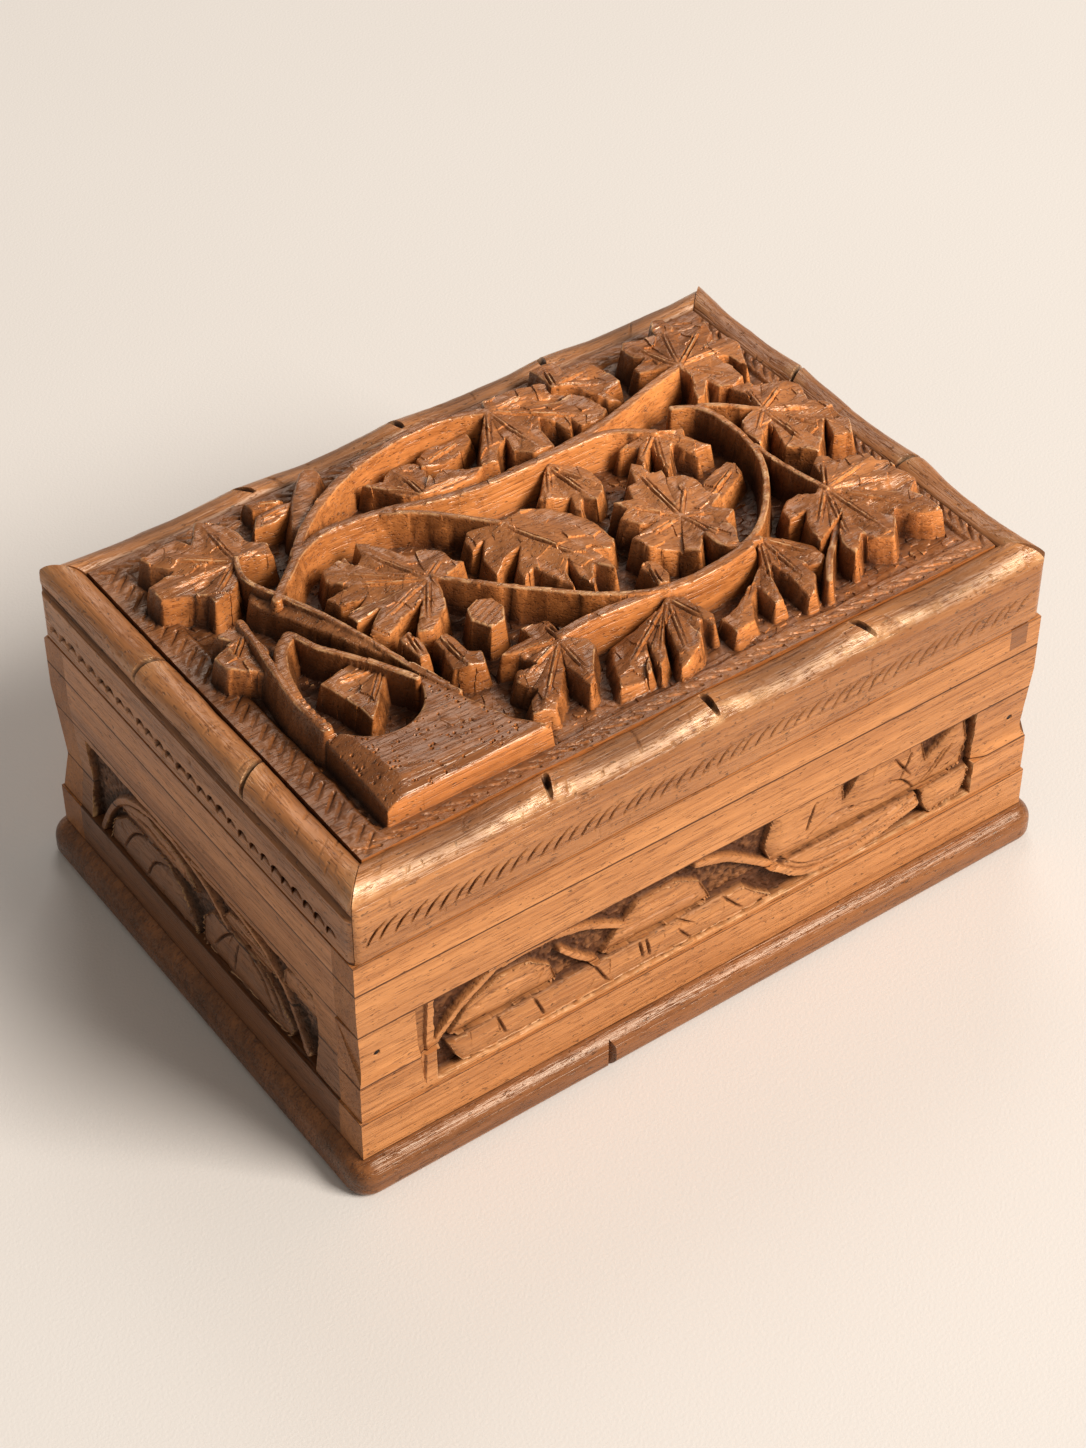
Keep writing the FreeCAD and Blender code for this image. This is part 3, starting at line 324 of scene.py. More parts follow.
SIDE_LEAVES = [
    [(-41, 1.5), (-36, 6), (-28, 8.8), (-18, 9), (-9, 6.5), (-4, 1.5)],
    [(-45, -12), (-44, -5), (-38, -0.5), (-27, 1), (-18, 0), (-12, -3), (-6, -8), (-4, -12)],
    [(7, 3.5), (11, 8), (18, 9.8), (26, 7), (31, 3)],
    [(-2, -4), (2, 0.5), (12, 1.5), (22, 1.5), (30, -2), (38, -8), (37, -10.5), (-1, -11)],
    [(34.5, 5), (36, 11), (41, 13), (49, 10.5), (49, 5)],
]
SIDE_CUTS = [
    [(-38, -9), (-34, -2.5), (-28, 0)], [(-27, -10), (-24, -4), (-18, -1)],
    [(-36, 3.5), (-26, 6), (-14, 5)], [(10, 4.5), (18, 6.5), (26, 5)], [(4, -8), (8, -2), (12, 1)],
    [(13, -9), (13.5, -1)], [(18, 0), (25, -3), (31, -8)], [(20, 1), (28, -2.5), (34, -8)],
]


def smoothstep(t):
    t = np.clip(t, 0, 1)
    return t * t * (3 - 2 * t)


def noise(x, y, size, seed):
    """Smooth random field from -1 to 1 with features of about the given size."""
    table = np.random.default_rng(seed).uniform(-1, 1, (128, 128))
    u = np.asarray(x) / size + 64
    v = np.asarray(y) / size + 64
    i = np.floor(u).astype(int)
    j = np.floor(v).astype(int)
    a = smoothstep(u - i)
    b = smoothstep(v - j)
    low = (1 - a) * table[i % 128, j % 128] + a * table[(i + 1) % 128, j % 128]
    high = (1 - a) * table[i % 128, (j + 1) % 128] + a * table[(i + 1) % 128, (j + 1) % 128]
    return (1 - b) * low + b * high


def smooth_path(points, steps=8):
    """Points along a smooth curve through the given ones."""
    p = [points[0]] + list(points) + [points[-1]]
    path = []
    for a, b, c, d in zip(p, p[1:], p[2:], p[3:]):
        for k in range(steps):
            t = k / steps
            point = []
            for o, q, r, s in zip(a, b, c, d):
                square = (2 * o - 5 * q + 4 * r - s) * t * t
                cube = (3 * q - o - 3 * r + s) * t ** 3
                point.append(0.5 * (2 * q + (r - o) * t + square + cube))
            path.append(tuple(point))
    return path + [points[-1]]


def cut_corners(outline, share):
    """Outline with each corner replaced by two points, so that edges look worn."""
    result = []
    for (ax, ay), (bx, by) in zip(outline, outline[1:] + outline[:1]):
        result.append((ax + (bx - ax) * share, ay + (by - ay) * share))
        result.append((bx + (ax - bx) * share, by + (ay - by) * share))
    return result


def facets(x, y, size, seed):
    """Field of small flat chisel cuts: each cell of an uneven grid has its own level and tilt."""
    rng = np.random.default_rng(seed)
    place = rng.uniform(0.1, 0.9, (64, 64, 2))
    tilt = rng.uniform(-1, 1, (64, 64, 3))
    u = np.asarray(x) / size + 32
    v = np.asarray(y) / size + 32
    nearest = np.full(u.shape, np.inf)
    value = np.zeros(u.shape)
    for shift_u in (-1, 0, 1):
        for shift_v in (-1, 0, 1):
            i = np.floor(u).astype(int) + shift_u
            j = np.floor(v).astype(int) + shift_v
            du = u - i - place[i % 64, j % 64, 0]
            dv = v - j - place[i % 64, j % 64, 1]
            a, b, level = np.moveaxis(tilt[i % 64, j % 64], -1, 0)
            d = du * du + dv * dv
            value = np.where(d < nearest, a * du + b * dv + 0.4 * level, value)
            nearest = np.minimum(nearest, d)
    return value


def path_distance(x, y, path):
    """Distance to a line of points, and how far along it the nearest place lies, from 0 to 1."""
    nearest = np.full(np.shape(x), np.inf)
    along = np.zeros(np.shape(x))
    total = path_length(path)
    start = 0.0
    for (ax, ay), (bx, by) in zip(path, path[1:]):
        ex, ey = bx - ax, by - ay
        t = np.clip(((x - ax) * ex + (y - ay) * ey) / (ex * ex + ey * ey + 1e-12), 0, 1)
        d = np.hypot(x - ax - t * ex, y - ay - t * ey)
        length = math.hypot(ex, ey)
        along = np.where(d < nearest, (start + t * length) / total, along)
        nearest = np.minimum(nearest, d)
        start += length
    return nearest, along


def path_length(path):
    return sum(math.dist(a, b) for a, b in zip(path, path[1:]))


def outline_distance(x, y, outline):
    """Distance to a closed outline, below zero inside it."""
    closed = outline + outline[:1]
    nearest, _ = path_distance(x, y, closed)
    inside = np.zeros(np.shape(x), bool)
    for (ax, ay), (bx, by) in zip(closed, closed[1:]):
        if ay != by:
            inside ^= ((ay > y) != (by > y)) & (x < (bx - ax) * (y - ay) / (by - ay) + ax)
    return np.where(inside, -nearest, nearest)


def box_distance(x, y, left, right, low, high):
    """Distance to an upright rectangle, below zero inside it."""
    return outline_distance(x, y, [(left, low), (right, low), (right, high), (left, high)])


def groove(distance, half_width, depth):
    """Depth of a V-shaped cut at a distance from its middle."""
    return depth * np.clip(1 - distance / half_width, 0, 1)


def blur(field, radius):
    """Mean over a square of cells."""
    for axis in (0, 1):
        pad = [(0, 0), (0, 0)]
        pad[axis] = (radius + 1, radius)
        total = np.cumsum(np.pad(field, pad, mode="edge"), axis=axis)
        high = np.take(total, range(2 * radius + 1, total.shape[axis]), axis=axis)
        low = np.take(total, range(0, total.shape[axis] - 2 * radius - 1), axis=axis)
        field = (high - low) / (2 * radius + 1)
    return field


def hidden_sky(z, step):
    """Share of the sky that the relief hides from each place, all round and on its more open side."""
    blocked = []
    for turn in range(8):
        angle = turn * math.pi / 4
        rise = np.zeros_like(z)
        for far in (0.8, 1.6, 3.2, 6.0):
            shift = (round(far * math.cos(angle) / step), round(far * math.sin(angle) / step))
            rise = np.maximum(rise, (np.roll(z, shift, axis=(0, 1)) - z) / far)
        blocked.append(rise ** 2 / (1 + rise ** 2))
    return np.mean(blocked, axis=0), np.sort(blocked, axis=0)[:5].mean(axis=0)


def highest_near(field, radius):
    """Highest value within a square of cells."""
    for axis in (0, 1):
        field = np.max([np.roll(field, shift, axis=axis) for shift in range(-radius, radius + 1)], axis=0)
    return field


def loft_mesh(name, sections, **attributes):
    """Closed mesh through sections, each a loop of points in millimetres.

    Shading attributes are given for the first points of each section and are zero on the others.
    """
    count, size, _ = sections.shape
    index = np.arange(count * size).reshape(count, size)
    ahead = np.roll(index, -1, axis=1)
    quads = np.stack([index[:-1], index[1:], ahead[1:], ahead[:-1]], axis=-1).reshape(-1, 4)
    faces = quads.tolist() + [index[0].tolist(), index[-1][::-1].tolist()]
    points = sections.reshape(-1, 3)
    corners = points[quads]
    centre = points.mean(axis=0)
    normal = np.cross(corners[:, 2] - corners[:, 0], corners[:, 3] - corners[:, 1])
    if (normal * (corners.mean(axis=1) - centre)).sum() < 0:
        faces = [face[::-1] for face in faces]
    mesh = bpy.data.meshes.new(name)
    mesh.from_pydata((points * MM).tolist(), [], faces)
    for label, values in attributes.items():
        values = np.pad(values, ((0, 0), (0, size - values.shape[1])))
        attribute = mesh.attributes.new(label, "FLOAT", "POINT")
        attribute.data.foreach_set("value", np.ascontiguousarray(values, np.float32).ravel())
    return mesh


def add_object(name, data):
    """Object in the scene that shows a mesh, a lamp or a camera."""
    thing = bpy.data.objects.new(name, data)
    bpy.context.scene.collection.objects.link(thing)
    return thing


def add_piece(node, mesh, body, material):
    """Carved object that stands for a CAD node and rides on its body."""
    mesh.polygons.foreach_set("use_smooth", [True] * len(mesh.polygons))
    mesh.set_sharp_from_angle(angle=math.radians(SHARP_ANGLE))
    mesh.materials.append(material)
    piece = add_object(node + "_carved", mesh)
    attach(piece, body)
    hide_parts(node)


def decimated(mesh, faces):
    """Copy of a mesh with about the given number of triangles."""
    carrier = add_object("decimate", mesh)
    modifier = carrier.modifiers.new("decimate", "DECIMATE")
    triangles = sum(len(polygon.vertices) - 2 for polygon in mesh.polygons)
    modifier.ratio = min(1.0, faces / triangles)
    bpy.context.view_layer.update()
    evaluated = carrier.evaluated_get(bpy.context.evaluated_depsgraph_get())
    result = bpy.data.meshes.new_from_object(evaluated)
    bpy.data.objects.remove(carrier)
    return result


def node_span(node):
    """Lowest and highest corner of a CAD node, in millimetres."""
    low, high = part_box(node)
    return np.array(low) / MM, np.array(high) / MM


class Relief:
    """Height field of the lid's panel."""

    def __init__(self, step):
        low, high = node_span("lid_panel")
        self.top = high[2]
        self.bottom = low[2]
        self.xs = np.linspace(low[0], high[0], int((high[0] - low[0]) / step))
        self.ys = np.linspace(low[1], high[1], int((high[1] - low[1]) / step))
        self.x, self.y = np.meshgrid(self.xs, self.ys, indexing="ij")
        self.step = step
        self.z = self.ground()

    def ground(self):
        """Border with chip cuts around a lower, uneven ground."""
        edge = box_distance(self.x, self.y, *FIELD[0], *FIELD[1])
        edge = edge + 0.5 * noise(self.x, self.y, 5, 1)
        z = PANEL_FACE - GROUND_DEPTH * smoothstep(0.5 - edge / 1.2)
        z += np.where(edge < 0, 0.35, 0.1) * facets(self.x, self.y, 2.2, 2)
        return z - self.chips()

    def chips(self):
        """Slanted cuts along the border."""
        (left, right), (front, back) = FIELD
        depth = np.zeros_like(self.x)
        rng = np.random.default_rng(5)
        rows = [
            ("y", (left + self.xs[0]) / 2, self.ys, 3.9, 0.6, (2.2, 2.0)),
            ("y", (right + self.xs[-1]) / 2, self.ys, 3.6, 0.6, (1.3, 2.3)),
            ("x", (front + self.ys[0]) / 2, self.xs, 4.6, 0.45, (3.3, -1.4)),
            ("x", (back + self.ys[-1]) / 2, self.xs, 3.8, 0.5, (2.2, -1.3)),
        ]
        for axis, place, along, pitch, half_width, (dx, dy) in rows:
            for t in np.arange(along[0] + 3, along[-1] - 3, pitch):
                t += rng.uniform(-0.4, 0.4)
                cx, cy = (place, t) if axis == "y" else (t, place)
                reach = rng.uniform(0.9, 1.2)
                cut = [(cx - dx * reach, cy - dy * reach), (cx + dx * reach, cy + dy * reach)]
                part, x, y = self.near(cut, 1.2)
                d, along_cut = path_distance(x, y, cut)
                taper = np.sqrt(np.clip(along_cut * 1.3, 0, 1))
                shape = groove(d, half_width, rng.uniform(0.5, 0.95)) * taper
                depth[part] = np.maximum(depth[part], shape)
        return depth

    def near(self, points, margin):
        """Cells within a margin around some points, and their places."""
        part = []
        for cells, values in zip((self.xs, self.ys), zip(*points)):
            part.append(slice(*np.searchsorted(cells, [min(values) - margin, max(values) + margin])))
        part = tuple(part)
        return part, self.x[part], self.y[part]

    def raise_form(self, part, distance, top, run, power, rough):
        """Raises a form whose chiselled walls fall from its top to the ground over a run."""
        distance = distance + rough * facets(self.x[part], self.y[part], 3.2, 6)
        floor = PANEL_FACE - GROUND_DEPTH
        fall = np.clip(1 - np.clip(distance, 0, None) / run, 0, 1) ** power
        edge = 0.3 * np.clip(1 + distance / 0.35, 0, 1)
        raised = floor + (top - edge - floor) * fall
        self.z[part] = np.where(fall > 0, np.maximum(self.z[part], raised), self.z[part])

    def seen(self, point, height):
        """True place of a point that was drawn from the camera's side."""
        back = RELIEF_HEIGHT - height
        return point[0] + SIGHT[0] * back, point[1] + SIGHT[1] * back

    def stem(self, width, start, end, points):
        path = smooth_path([self.seen(p, (start + end) / 2) for p in points])
        part, x, y = self.near(path, width + 4)
        d, along = path_distance(x, y, path)
        top = PANEL_FACE + start + (end - start) * along + 0.2 * facets(x, y, 6, 8)
        run, power = (2.0, 0.8) if width > THICK_STEM else (0.9, 1.3)
        self.raise_form(part, d - width / 2, top, run, power, 0.12)

    def lobes(self, x, y, root, tips, fold, fall, seed):
        """How far lobes fall from their veins, the cuts along these, and the nearest vein's distance."""
        rng = np.random.default_rng(seed)
        reach = max(math.dist(root, tip) for tip in tips)
        nearest = np.full(x.shape, np.inf)
        drop = np.zeros(x.shape)
        cuts = np.zeros(x.shape)
        for rank, tip in enumerate(tips):
            length = math.dist(root, tip)
            ex, ey = (tip[0] - root[0]) / length, (tip[1] - root[1]) / length
            out = (x - root[0]) * ex + (y - root[1]) * ey
            side = (y - root[1]) * ex - (x - root[0]) * ey
            facing = 0.3 * ey - 0.9 * ex
            slopes = [fold * (rng.uniform(0.03, 0.2) + 0.25 * max(0, turn * facing)) for turn in (-1, 1)]
            slope = np.where(side < 0, slopes[0], slopes[1])
            lobe = slope * np.abs(side) + fall * np.clip(out / reach, 0, 1)
            d, along = path_distance(x, y, [root, tip])
            drop = np.where(d < nearest, lobe, drop)
            nearest = np.minimum(nearest, d)
            taper = np.sin(math.pi * np.clip((along - 0.05) / 0.8, 0, 1)) ** 0.5
            depth = 1.0 if rank == 0 else 0.6
            cuts = np.maximum(cuts, groove(np.abs(d - 0.55), 0.36, depth) * taper)
        return drop, cuts, nearest

    def leaf(self, height, fall, fold, base, veins, outline, seed):
        """Leaf of flat chisel cuts: each lobe falls from its vein by slopes of its own and is dished."""
        px, py = np.array(outline, float).T
        drop, _, _ = self.lobes(px, py, base, veins, fold, fall, seed)
        outline = cut_corners([self.seen(p, height - d) for p, d in zip(outline, drop)], 0.04)
        reach = max(math.dist(base, p) for p in veins)
        root = self.seen(base, height)
        tips = [self.seen(p, height - fall * math.dist(base, p) / reach) for p in veins]
        part, x, y = self.near(outline, 2.5)
        drop, cuts, nearest = self.lobes(x, y, root, tips, fold, fall, seed)
        distance = outline_distance(x, y, outline)
        inward = np.clip(-distance, 0, None)
        across = nearest + inward + 1e-6
        dish = 0.7 * np.sin(math.pi * nearest / across) ** 2 * np.clip((across - 2) / 5, 0, 1) * (inward > 0)
        top = PANEL_FACE + height - drop - cuts - dish + 0.4 * facets(x, y, 4.5, seed)
        self.raise_form(part, distance, np.minimum(top, self.top - 0.1), 1.3, 1.0, 0.25)

    def trunk(self):
        """Broad pitted trunk with bevelled sides and the loop's round hollow."""
        part, x, y = self.near(TRUNK, 3.5)
        loop = LOOP_RADIUS - np.hypot(x - LOOP[0], y - LOOP[1])
        distance = np.maximum(outline_distance(x, y, TRUNK), loop)
        left, front = TRUNK[0]
        right = TRUNK[-1][0]
        shoulder = 0.55 * np.clip(left + 7 - x + 0.12 * (front - y), 0, None)
        top = PANEL_FACE + TRUNK_HEIGHT - shoulder - 0.04 * np.clip(x - left, 0, right - left)
        bevel = PANEL_FACE + 5.8 + 0.4 * (y - front) + 0.25 * noise(x, y, 5, 12)
        top = np.minimum(top + 0.12 * facets(x, y, 11, 9), bevel)
        rng = np.random.default_rng(10)
        for px, py, size in rng.uniform((left, front, 0.2), (right, -23, 0.5), (TRUNK_PITS, 3)):
            top = top - 0.7 * np.clip(1.5 - 1.5 * np.hypot(x - px, y - py) / size, 0, 1)
        self.raise_form(part, distance, top, 0.8, 0.8, 0.06)

    def stub(self):
        """Cut-off twig with flat sides and rings on its end."""
        part, x, y = self.near(STUB, 3.5)
        rings = groove(np.abs((0.45 * x - y) % 1.7 - 0.85), 0.3, 0.22)
        top = PANEL_FACE + STUB_HEIGHT - rings
        self.raise_form(part, outline_distance(x, y, STUB), top, 1.2, 1.2, 0.12)

    def ladder(self):
        """Short cross cuts on the inner side of the left strand of the loop."""
        left, right = LADDER_X
        for k in range(LADDER_CUTS):
            height = LADDER_Y + LADDER_PITCH * k
            cut = [(left + 0.05 * k, height), (right, height + 0.3)]
            part, x, y = self.near(cut, 1.0)
            d, _ = path_distance(x, y, cut)
            self.z[part] -= groove(d, 0.55, 0.7)

    def carve(self):
        for leaf in sorted(LEAVES, key=lambda leaf: leaf[0]):
            base = leaf[3]
            self.leaf(*leaf, 20 + int(abs(base[0]) * 3 + abs(base[1])))
        for stem in STEMS:
            self.stem(*stem)
        self.trunk()
        self.stub()
        self.ladder()
        self.z = np.clip(self.z, self.bottom + 4, self.top)

    def mesh(self, faces):
        """Closed mesh with painted shade and dirt in its hollows, and wear and painted glints on its edges.
        """
        # Painted shade and dirt: hollows, wall feet, narrow gaps and the low ground get darker
        near = np.maximum(blur(self.z, int(0.9 / self.step)) - self.z, 0)
        low = smoothstep((PANEL_FACE + 2.5 - self.z) / 3.5)
        hidden, narrow = hidden_sky(self.z, self.step)
        slope_x, slope_y = np.gradient(blur(self.z, 1), self.step)
        # Walls that face the key lamp get less of the painted shade, as if lit
        facing = (0.92 * slope_y - 0.4 * slope_x) / np.sqrt(1 + slope_x ** 2 + slope_y ** 2)
        wall = 1.9 * np.clip(hidden - 0.18, 0, 1) + 0.5 * np.minimum(near, 1.4)
        wall = wall * (1 - 0.85 * np.clip(1.4 * facing, 0, 1))
        cavity = np.clip(wall + 0.7 * np.clip(narrow - 0.15, 0, 1) + 0.3 * low, 0, 1)
        # Wear and painted glints on convex edges; the crest keeps the glint at the top of each edge
        wear = np.clip((self.z - blur(self.z, max(1, int(0.45 / self.step)))) * 3.2, 0, 1)
        crest = highest_near(self.z, int(1.2 / self.step)) * MM
        count = len(self.xs)
        loops = np.zeros((count, len(self.ys) + 2, 3))
        loops[:, :-2] = np.stack([self.x, self.y, self.z], axis=-1)
        for column, y in ((-2, self.ys[-1]), (-1, self.ys[0])):
            loops[:, column] = np.stack([self.xs, np.full(count, y), np.full(count, self.bottom)], axis=-1)
        fine = loft_mesh("lid_panel_carved", loops, cavity=cavity, wear=wear, crest=crest)
        return decimated(fine, faces)


def arc_points(a, b, c, count):
    """Points along the circle arc from a through b to c."""
    ax, ay = a
    bx, by = b
    cx, cy = c
    d = 2 * (ax * (by - cy) + bx * (cy - ay) + cx * (ay - by))
    ux = ((ax**2 + ay**2) * (by - cy) + (bx**2 + by**2) * (cy - ay) + (cx**2 + cy**2) * (ay - by)) / d
    uy = ((ax**2 + ay**2) * (cx - bx) + (bx**2 + by**2) * (ax - cx) + (cx**2 + cy**2) * (bx - ax)) / d
    radius = math.hypot(ax - ux, ay - uy)
    angles = np.unwrap([math.atan2(y - uy, x - ux) for x, y in (a, b, c)])
    turn = np.interp(np.linspace(0, 2, count), [0, 1, 2], angles)
    return np.stack([ux + radius * np.cos(turn), uy + radius * np.sin(turn)], axis=-1)


def dense_places(half, marks):
    """Places from -half to half, closer together near the marks."""
    places = [np.arange(-half, half, MOULDING_STEP), [half]]
    reach = MOULDING_FINE_REACH
    for mark in marks:
        places.append(np.arange(mark - reach, mark + reach, MOULDING_FINE_STEP))
    places = np.unique(np.round(np.concatenate(places), 3))
    return places[(places >= -half) & (places <= half)]


def stroke_cut(u, z, size, depth):
    """Slanting cut with pointed ends."""
    stroke = smooth_path([(-size, -size), (-0.12 * size, 0.2 * size), (size, 0.95 * size)], 4)
    d, along = path_distance(u, z, stroke)
    return groove(d, STROKE_HALF, depth) * np.sin(math.pi * np.clip(0.1 + 0.85 * along, 0, 1))


def crescent_cut(u, z, size, depth):
    """Cut of a round gouge, deep along its upper edge."""
    z = z + 0.35 * size
    outer = size - np.hypot(u, z)
    inner = np.hypot(u - 0.25 * size, z + 0.75 * size) - size
    return 1.8 * depth * np.clip(outer / 0.25, 0, 1) * np.clip(inner / (0.35 * size), 0, 1)


def moulding_sections(half_length, half_width, nodes, gouge, style, low, crest, hinges, seed):
    """Sections of a mitred moulding along X at -Y, a gouged band under a noded roll, with painted shade and
    with wear and painted highlights.
    """
    cut_shape, (reach, pitch, gouges) = gouge
    band_z = np.concatenate([
        [low, low + 0.15, low + 0.45],
        np.arange(low + 1.0, gouges - GOUGE_REACH, 0.8),
        np.arange(gouges - GOUGE_REACH, gouges + GOUGE_REACH, 0.21),
        np.arange(gouges + GOUGE_REACH, crest - ROLL_HEIGHT - 0.9, 0.6),
        [crest - ROLL_HEIGHT - 0.6],
    ])
    band = np.stack([0.4 * np.clip(1 - (band_z - low) / 0.45, 0, 1) ** 2, band_z], axis=-1)
    quirk = (style["quirk"], crest - ROLL_HEIGHT + 0.6)
    top = (style["top"], crest)
    belly_depth, belly_drop = style["belly"]
    rise = arc_points(quirk, (belly_depth, crest - belly_drop), top, RISE_ROWS)
    shoulder = ((top[0] + ROLL_WIDTH) / 2 + 0.4, crest - 0.7)
    dip = arc_points(top, shoulder, (ROLL_WIDTH, crest - 2.7), DIP_ROWS)[1:]
    face = np.concatenate([band, rise, dip])
    # Painted shade in the line below the roll and where the roll meets the panel
    quirks = np.clip(1 - np.hypot(face[:, 0] - quirk[0], face[:, 1] - quirk[1]) / 1.6, 0, 1)
    quirks = quirks * 0.6 * style["quirk"]
    quirks = quirks + 0.6 * smoothstep((face[:, 0] - ROLL_WIDTH + 0.9) / 0.9)
    roll = [np.zeros(len(band)), np.linspace(0, 1, RISE_ROWS), np.linspace(1, 2, DIP_ROWS)[1:]]
    roll = np.concatenate(roll)
    step = np.gradient(face, axis=0)
    normal = np.stack([-step[:, 1], step[:, 0]], axis=-1) / np.linalg.norm(step, axis=1)[:, None]

    marks = list(nodes) + [x + s for x in hinges for s in (-HINGE_HALF, HINGE_HALF)]
    s = dense_places(half_length, marks)
    u, r = np.meshgrid(s, roll, indexing="ij")
    z = np.broadcast_to(face[:, 1], u.shape)

    joints = np.array([-half_length] + list(nodes) + [half_length])
    cell = np.clip(np.searchsorted(joints, s) - 1, 0, len(joints) - 2)
    share = (s - joints[cell]) / (joints[cell + 1] - joints[cell])
    waist = np.sin(math.pi * share)[:, None] * smoothstep(np.sin(math.pi / 2 * np.clip(r, 0, 2)))
    sunk = 1.2 * waist + 0.2 * noise(u, z, 9, seed) * smoothstep(r * 3)
    sunk = sunk + 0.05 * noise(u, z * 3, 2.5, seed + 1)

    cut = np.zeros_like(u)
    start, stop = style["nick"]
    lens = np.clip(np.sin(math.pi * np.clip((r - start) / (stop - start), 0, 1)), 0, 1) ** 0.6
    lean = 1.2 * (1 - r)
    for x in nodes:
        slit = np.clip(1 - np.abs(u - x - lean) / (0.3 + style["nick_half"] * lens), 0, 1) ** 0.8
        cut = np.maximum(cut, slit * style["nick_depth"] * lens)
    rng = np.random.default_rng(seed + 2)
    for x in np.arange(-half_length + 6, half_length - 4, pitch):
        x += rng.uniform(-0.4, 0.4)
        middle = gouges + rng.uniform(-0.3, 0.3)
        size = reach * rng.uniform(0.88, 1.12)
        near = np.abs(s - x) < reach + 2
        scoop = cut_shape(u[near] - x, z[near] - middle, size, rng.uniform(0.65, 0.95))
        cut[near] = np.maximum(cut[near], np.where(r[near] <= 0, scoop, 0))
    scar = np.clip(noise(u, z, 1.6, seed + 3) - 0.72, 0, 1) * 0.9
    sunk = sunk + cut + scar
    depth = face[:, 0] - normal[:, 0] * sunk
    height = z - normal[:, 1] * sunk
    height[:, roll == 0] = z[:, roll == 0]
    depth[:, :3] = face[:3, 0]

    at_hinge = np.zeros(len(s), bool)
    for x in hinges:
        at_hinge |= np.abs(s - x) < HINGE_HALF - SLIVER
    seat = np.where(at_hinge, low + HINGE_SEAT_HEIGHT, low)
    channel = np.where(at_hinge, low + HINGE_CHANNEL_HEIGHT, low)
    lift = channel[:, None] + HAIR * np.arange(len(roll))
    height = np.maximum(height, np.where(at_hinge[:, None], lift, 0))
    inner = ROLL_WIDTH + LEDGE_WIDTH
    seat_front, seat_back = HINGE_SEAT
    under = [
        (ROLL_WIDTH, LEDGE), (inner, LEDGE), (inner, low), (seat_back + SLIVER, low), (seat_back, seat),
        (seat_front + SLIVER, seat), (seat_front, channel), (HINGE_CHANNEL, channel),
    ]
    rest_depth = np.stack([np.full(len(s), behind) for behind, _ in under], axis=-1)
    rest_height = np.stack([np.broadcast_to(h, s.shape) for _, h in under], axis=-1)
    depth = np.concatenate([depth, rest_depth], axis=1)
    height = np.concatenate([height, rest_height], axis=1)
    x = s[:, None] * (half_length - depth) / half_length
    # Wear and a painted highlight along the roll's lower side, and on the lips of the cuts
    strength, stop = style["rub_and_highlight"]
    rubbed_and_highlight = strength * smoothstep(r * 2) * smoothstep((stop - r) * 2) * (1 - 0.5 * waist)
    edge = 0.7 * np.clip(1 - np.abs(cut - 0.12) / 0.12, 0, 1) + np.where(r > 0, rubbed_and_highlight, 0)
    # Painted shade and dirt in the cuts and scars, painted shade in the quirk lines and at the waists
    cavity = np.clip(cut * 1.1 + scar + quirks + style["shade"] * waist, 0, 1)
    return np.stack([x, depth - half_width, height], axis=-1), cavity, edge


def rounded_corner(sections, half_x, half_y):
    """Sections with the lid's upright corners rounded."""
    x, y = sections[..., 0], sections[..., 1]
    out_x = np.abs(x) - (half_x - LID_CORNER)
    out_y = np.abs(y) - (half_y - LID_CORNER)
    reach = np.hypot(np.maximum(out_x, 0), np.maximum(out_y, 0))
    outside = (out_x > 0) & (out_y > 0) & (reach > LID_CORNER)
    shrink = np.where(outside, LID_CORNER / np.maximum(reach, 1e-6), 1)
    result = sections.copy()
    result[..., 0] = np.where(outside, np.sign(x) * (half_x - LID_CORNER + out_x * shrink), x)
    result[..., 1] = np.where(outside, np.sign(y) * (half_y - LID_CORNER + out_y * shrink), y)
    return result


def turned(sections, quarter_turns):
    """Sections turned about Z by quarter turns."""
    result = sections.copy()
    for _ in range(quarter_turns):
        result = np.stack([-result[..., 1], result[..., 0], result[..., 2]], axis=-1)
    return result


def add_mouldings(material_long, material_short):
    """The four lid mouldings, with the stop chamfer along the back edge."""
    low, high = node_span("lid_moulding_front")
    half_y = -low[1]
    half_x = -node_span("lid_moulding_left")[0][0]
    sides = {
        "front": (half_x, half_y, LONG_NODES, (), 0, material_long),
        "right": (half_y, half_x, SHORT_NODES, (), 1, material_short),
        "back": (half_x, half_y, LONG_NODES, (-HINGE_X, HINGE_X), 2, material_long),
        "left": (half_y, half_x, SHORT_NODES, (), 3, material_short),
    }
    for side, (length, width, nodes, hinges, turns, material) in sides.items():
        seed = 40 + 10 * turns
        gouge, style = (stroke_cut, STROKE), LONG_ROLL
        if turns % 2:
            gouge, style = (crescent_cut, CRESCENT), SHORT_ROLL
        sections, cavity, wear = moulding_sections(
            length, width, nodes, gouge, style, low[2], high[2], hinges, seed)
        sections = rounded_corner(turned(sections, turns), half_x, half_y)
        stop = low[2] + np.clip(sections[..., 1] - HINGE_AXIS_Y, 0, None) * STOP_SLOPE
        sections[..., 2] = np.maximum(sections[..., 2], stop)
        node = "lid_moulding_" + side
        mesh = loft_mesh(node + "_carved", sections, cavity=cavity, wear=wear)
        add_piece(node, mesh, "lid", material)


def wall_place(side, u, z, inset):
    """Points on a side, with u to the right as seen from outside and inset from the bottom rail's face."""
    u, z, inset = np.broadcast_arrays(u, z, inset)
    if side == "front":
        return np.stack([u, inset - BOX_HALF_Y, z], axis=-1)
    if side == "left":
        return np.stack([inset - BOX_HALF_X, -u, z], axis=-1)
    return np.stack([BOX_HALF_X - inset, u, z], axis=-1)


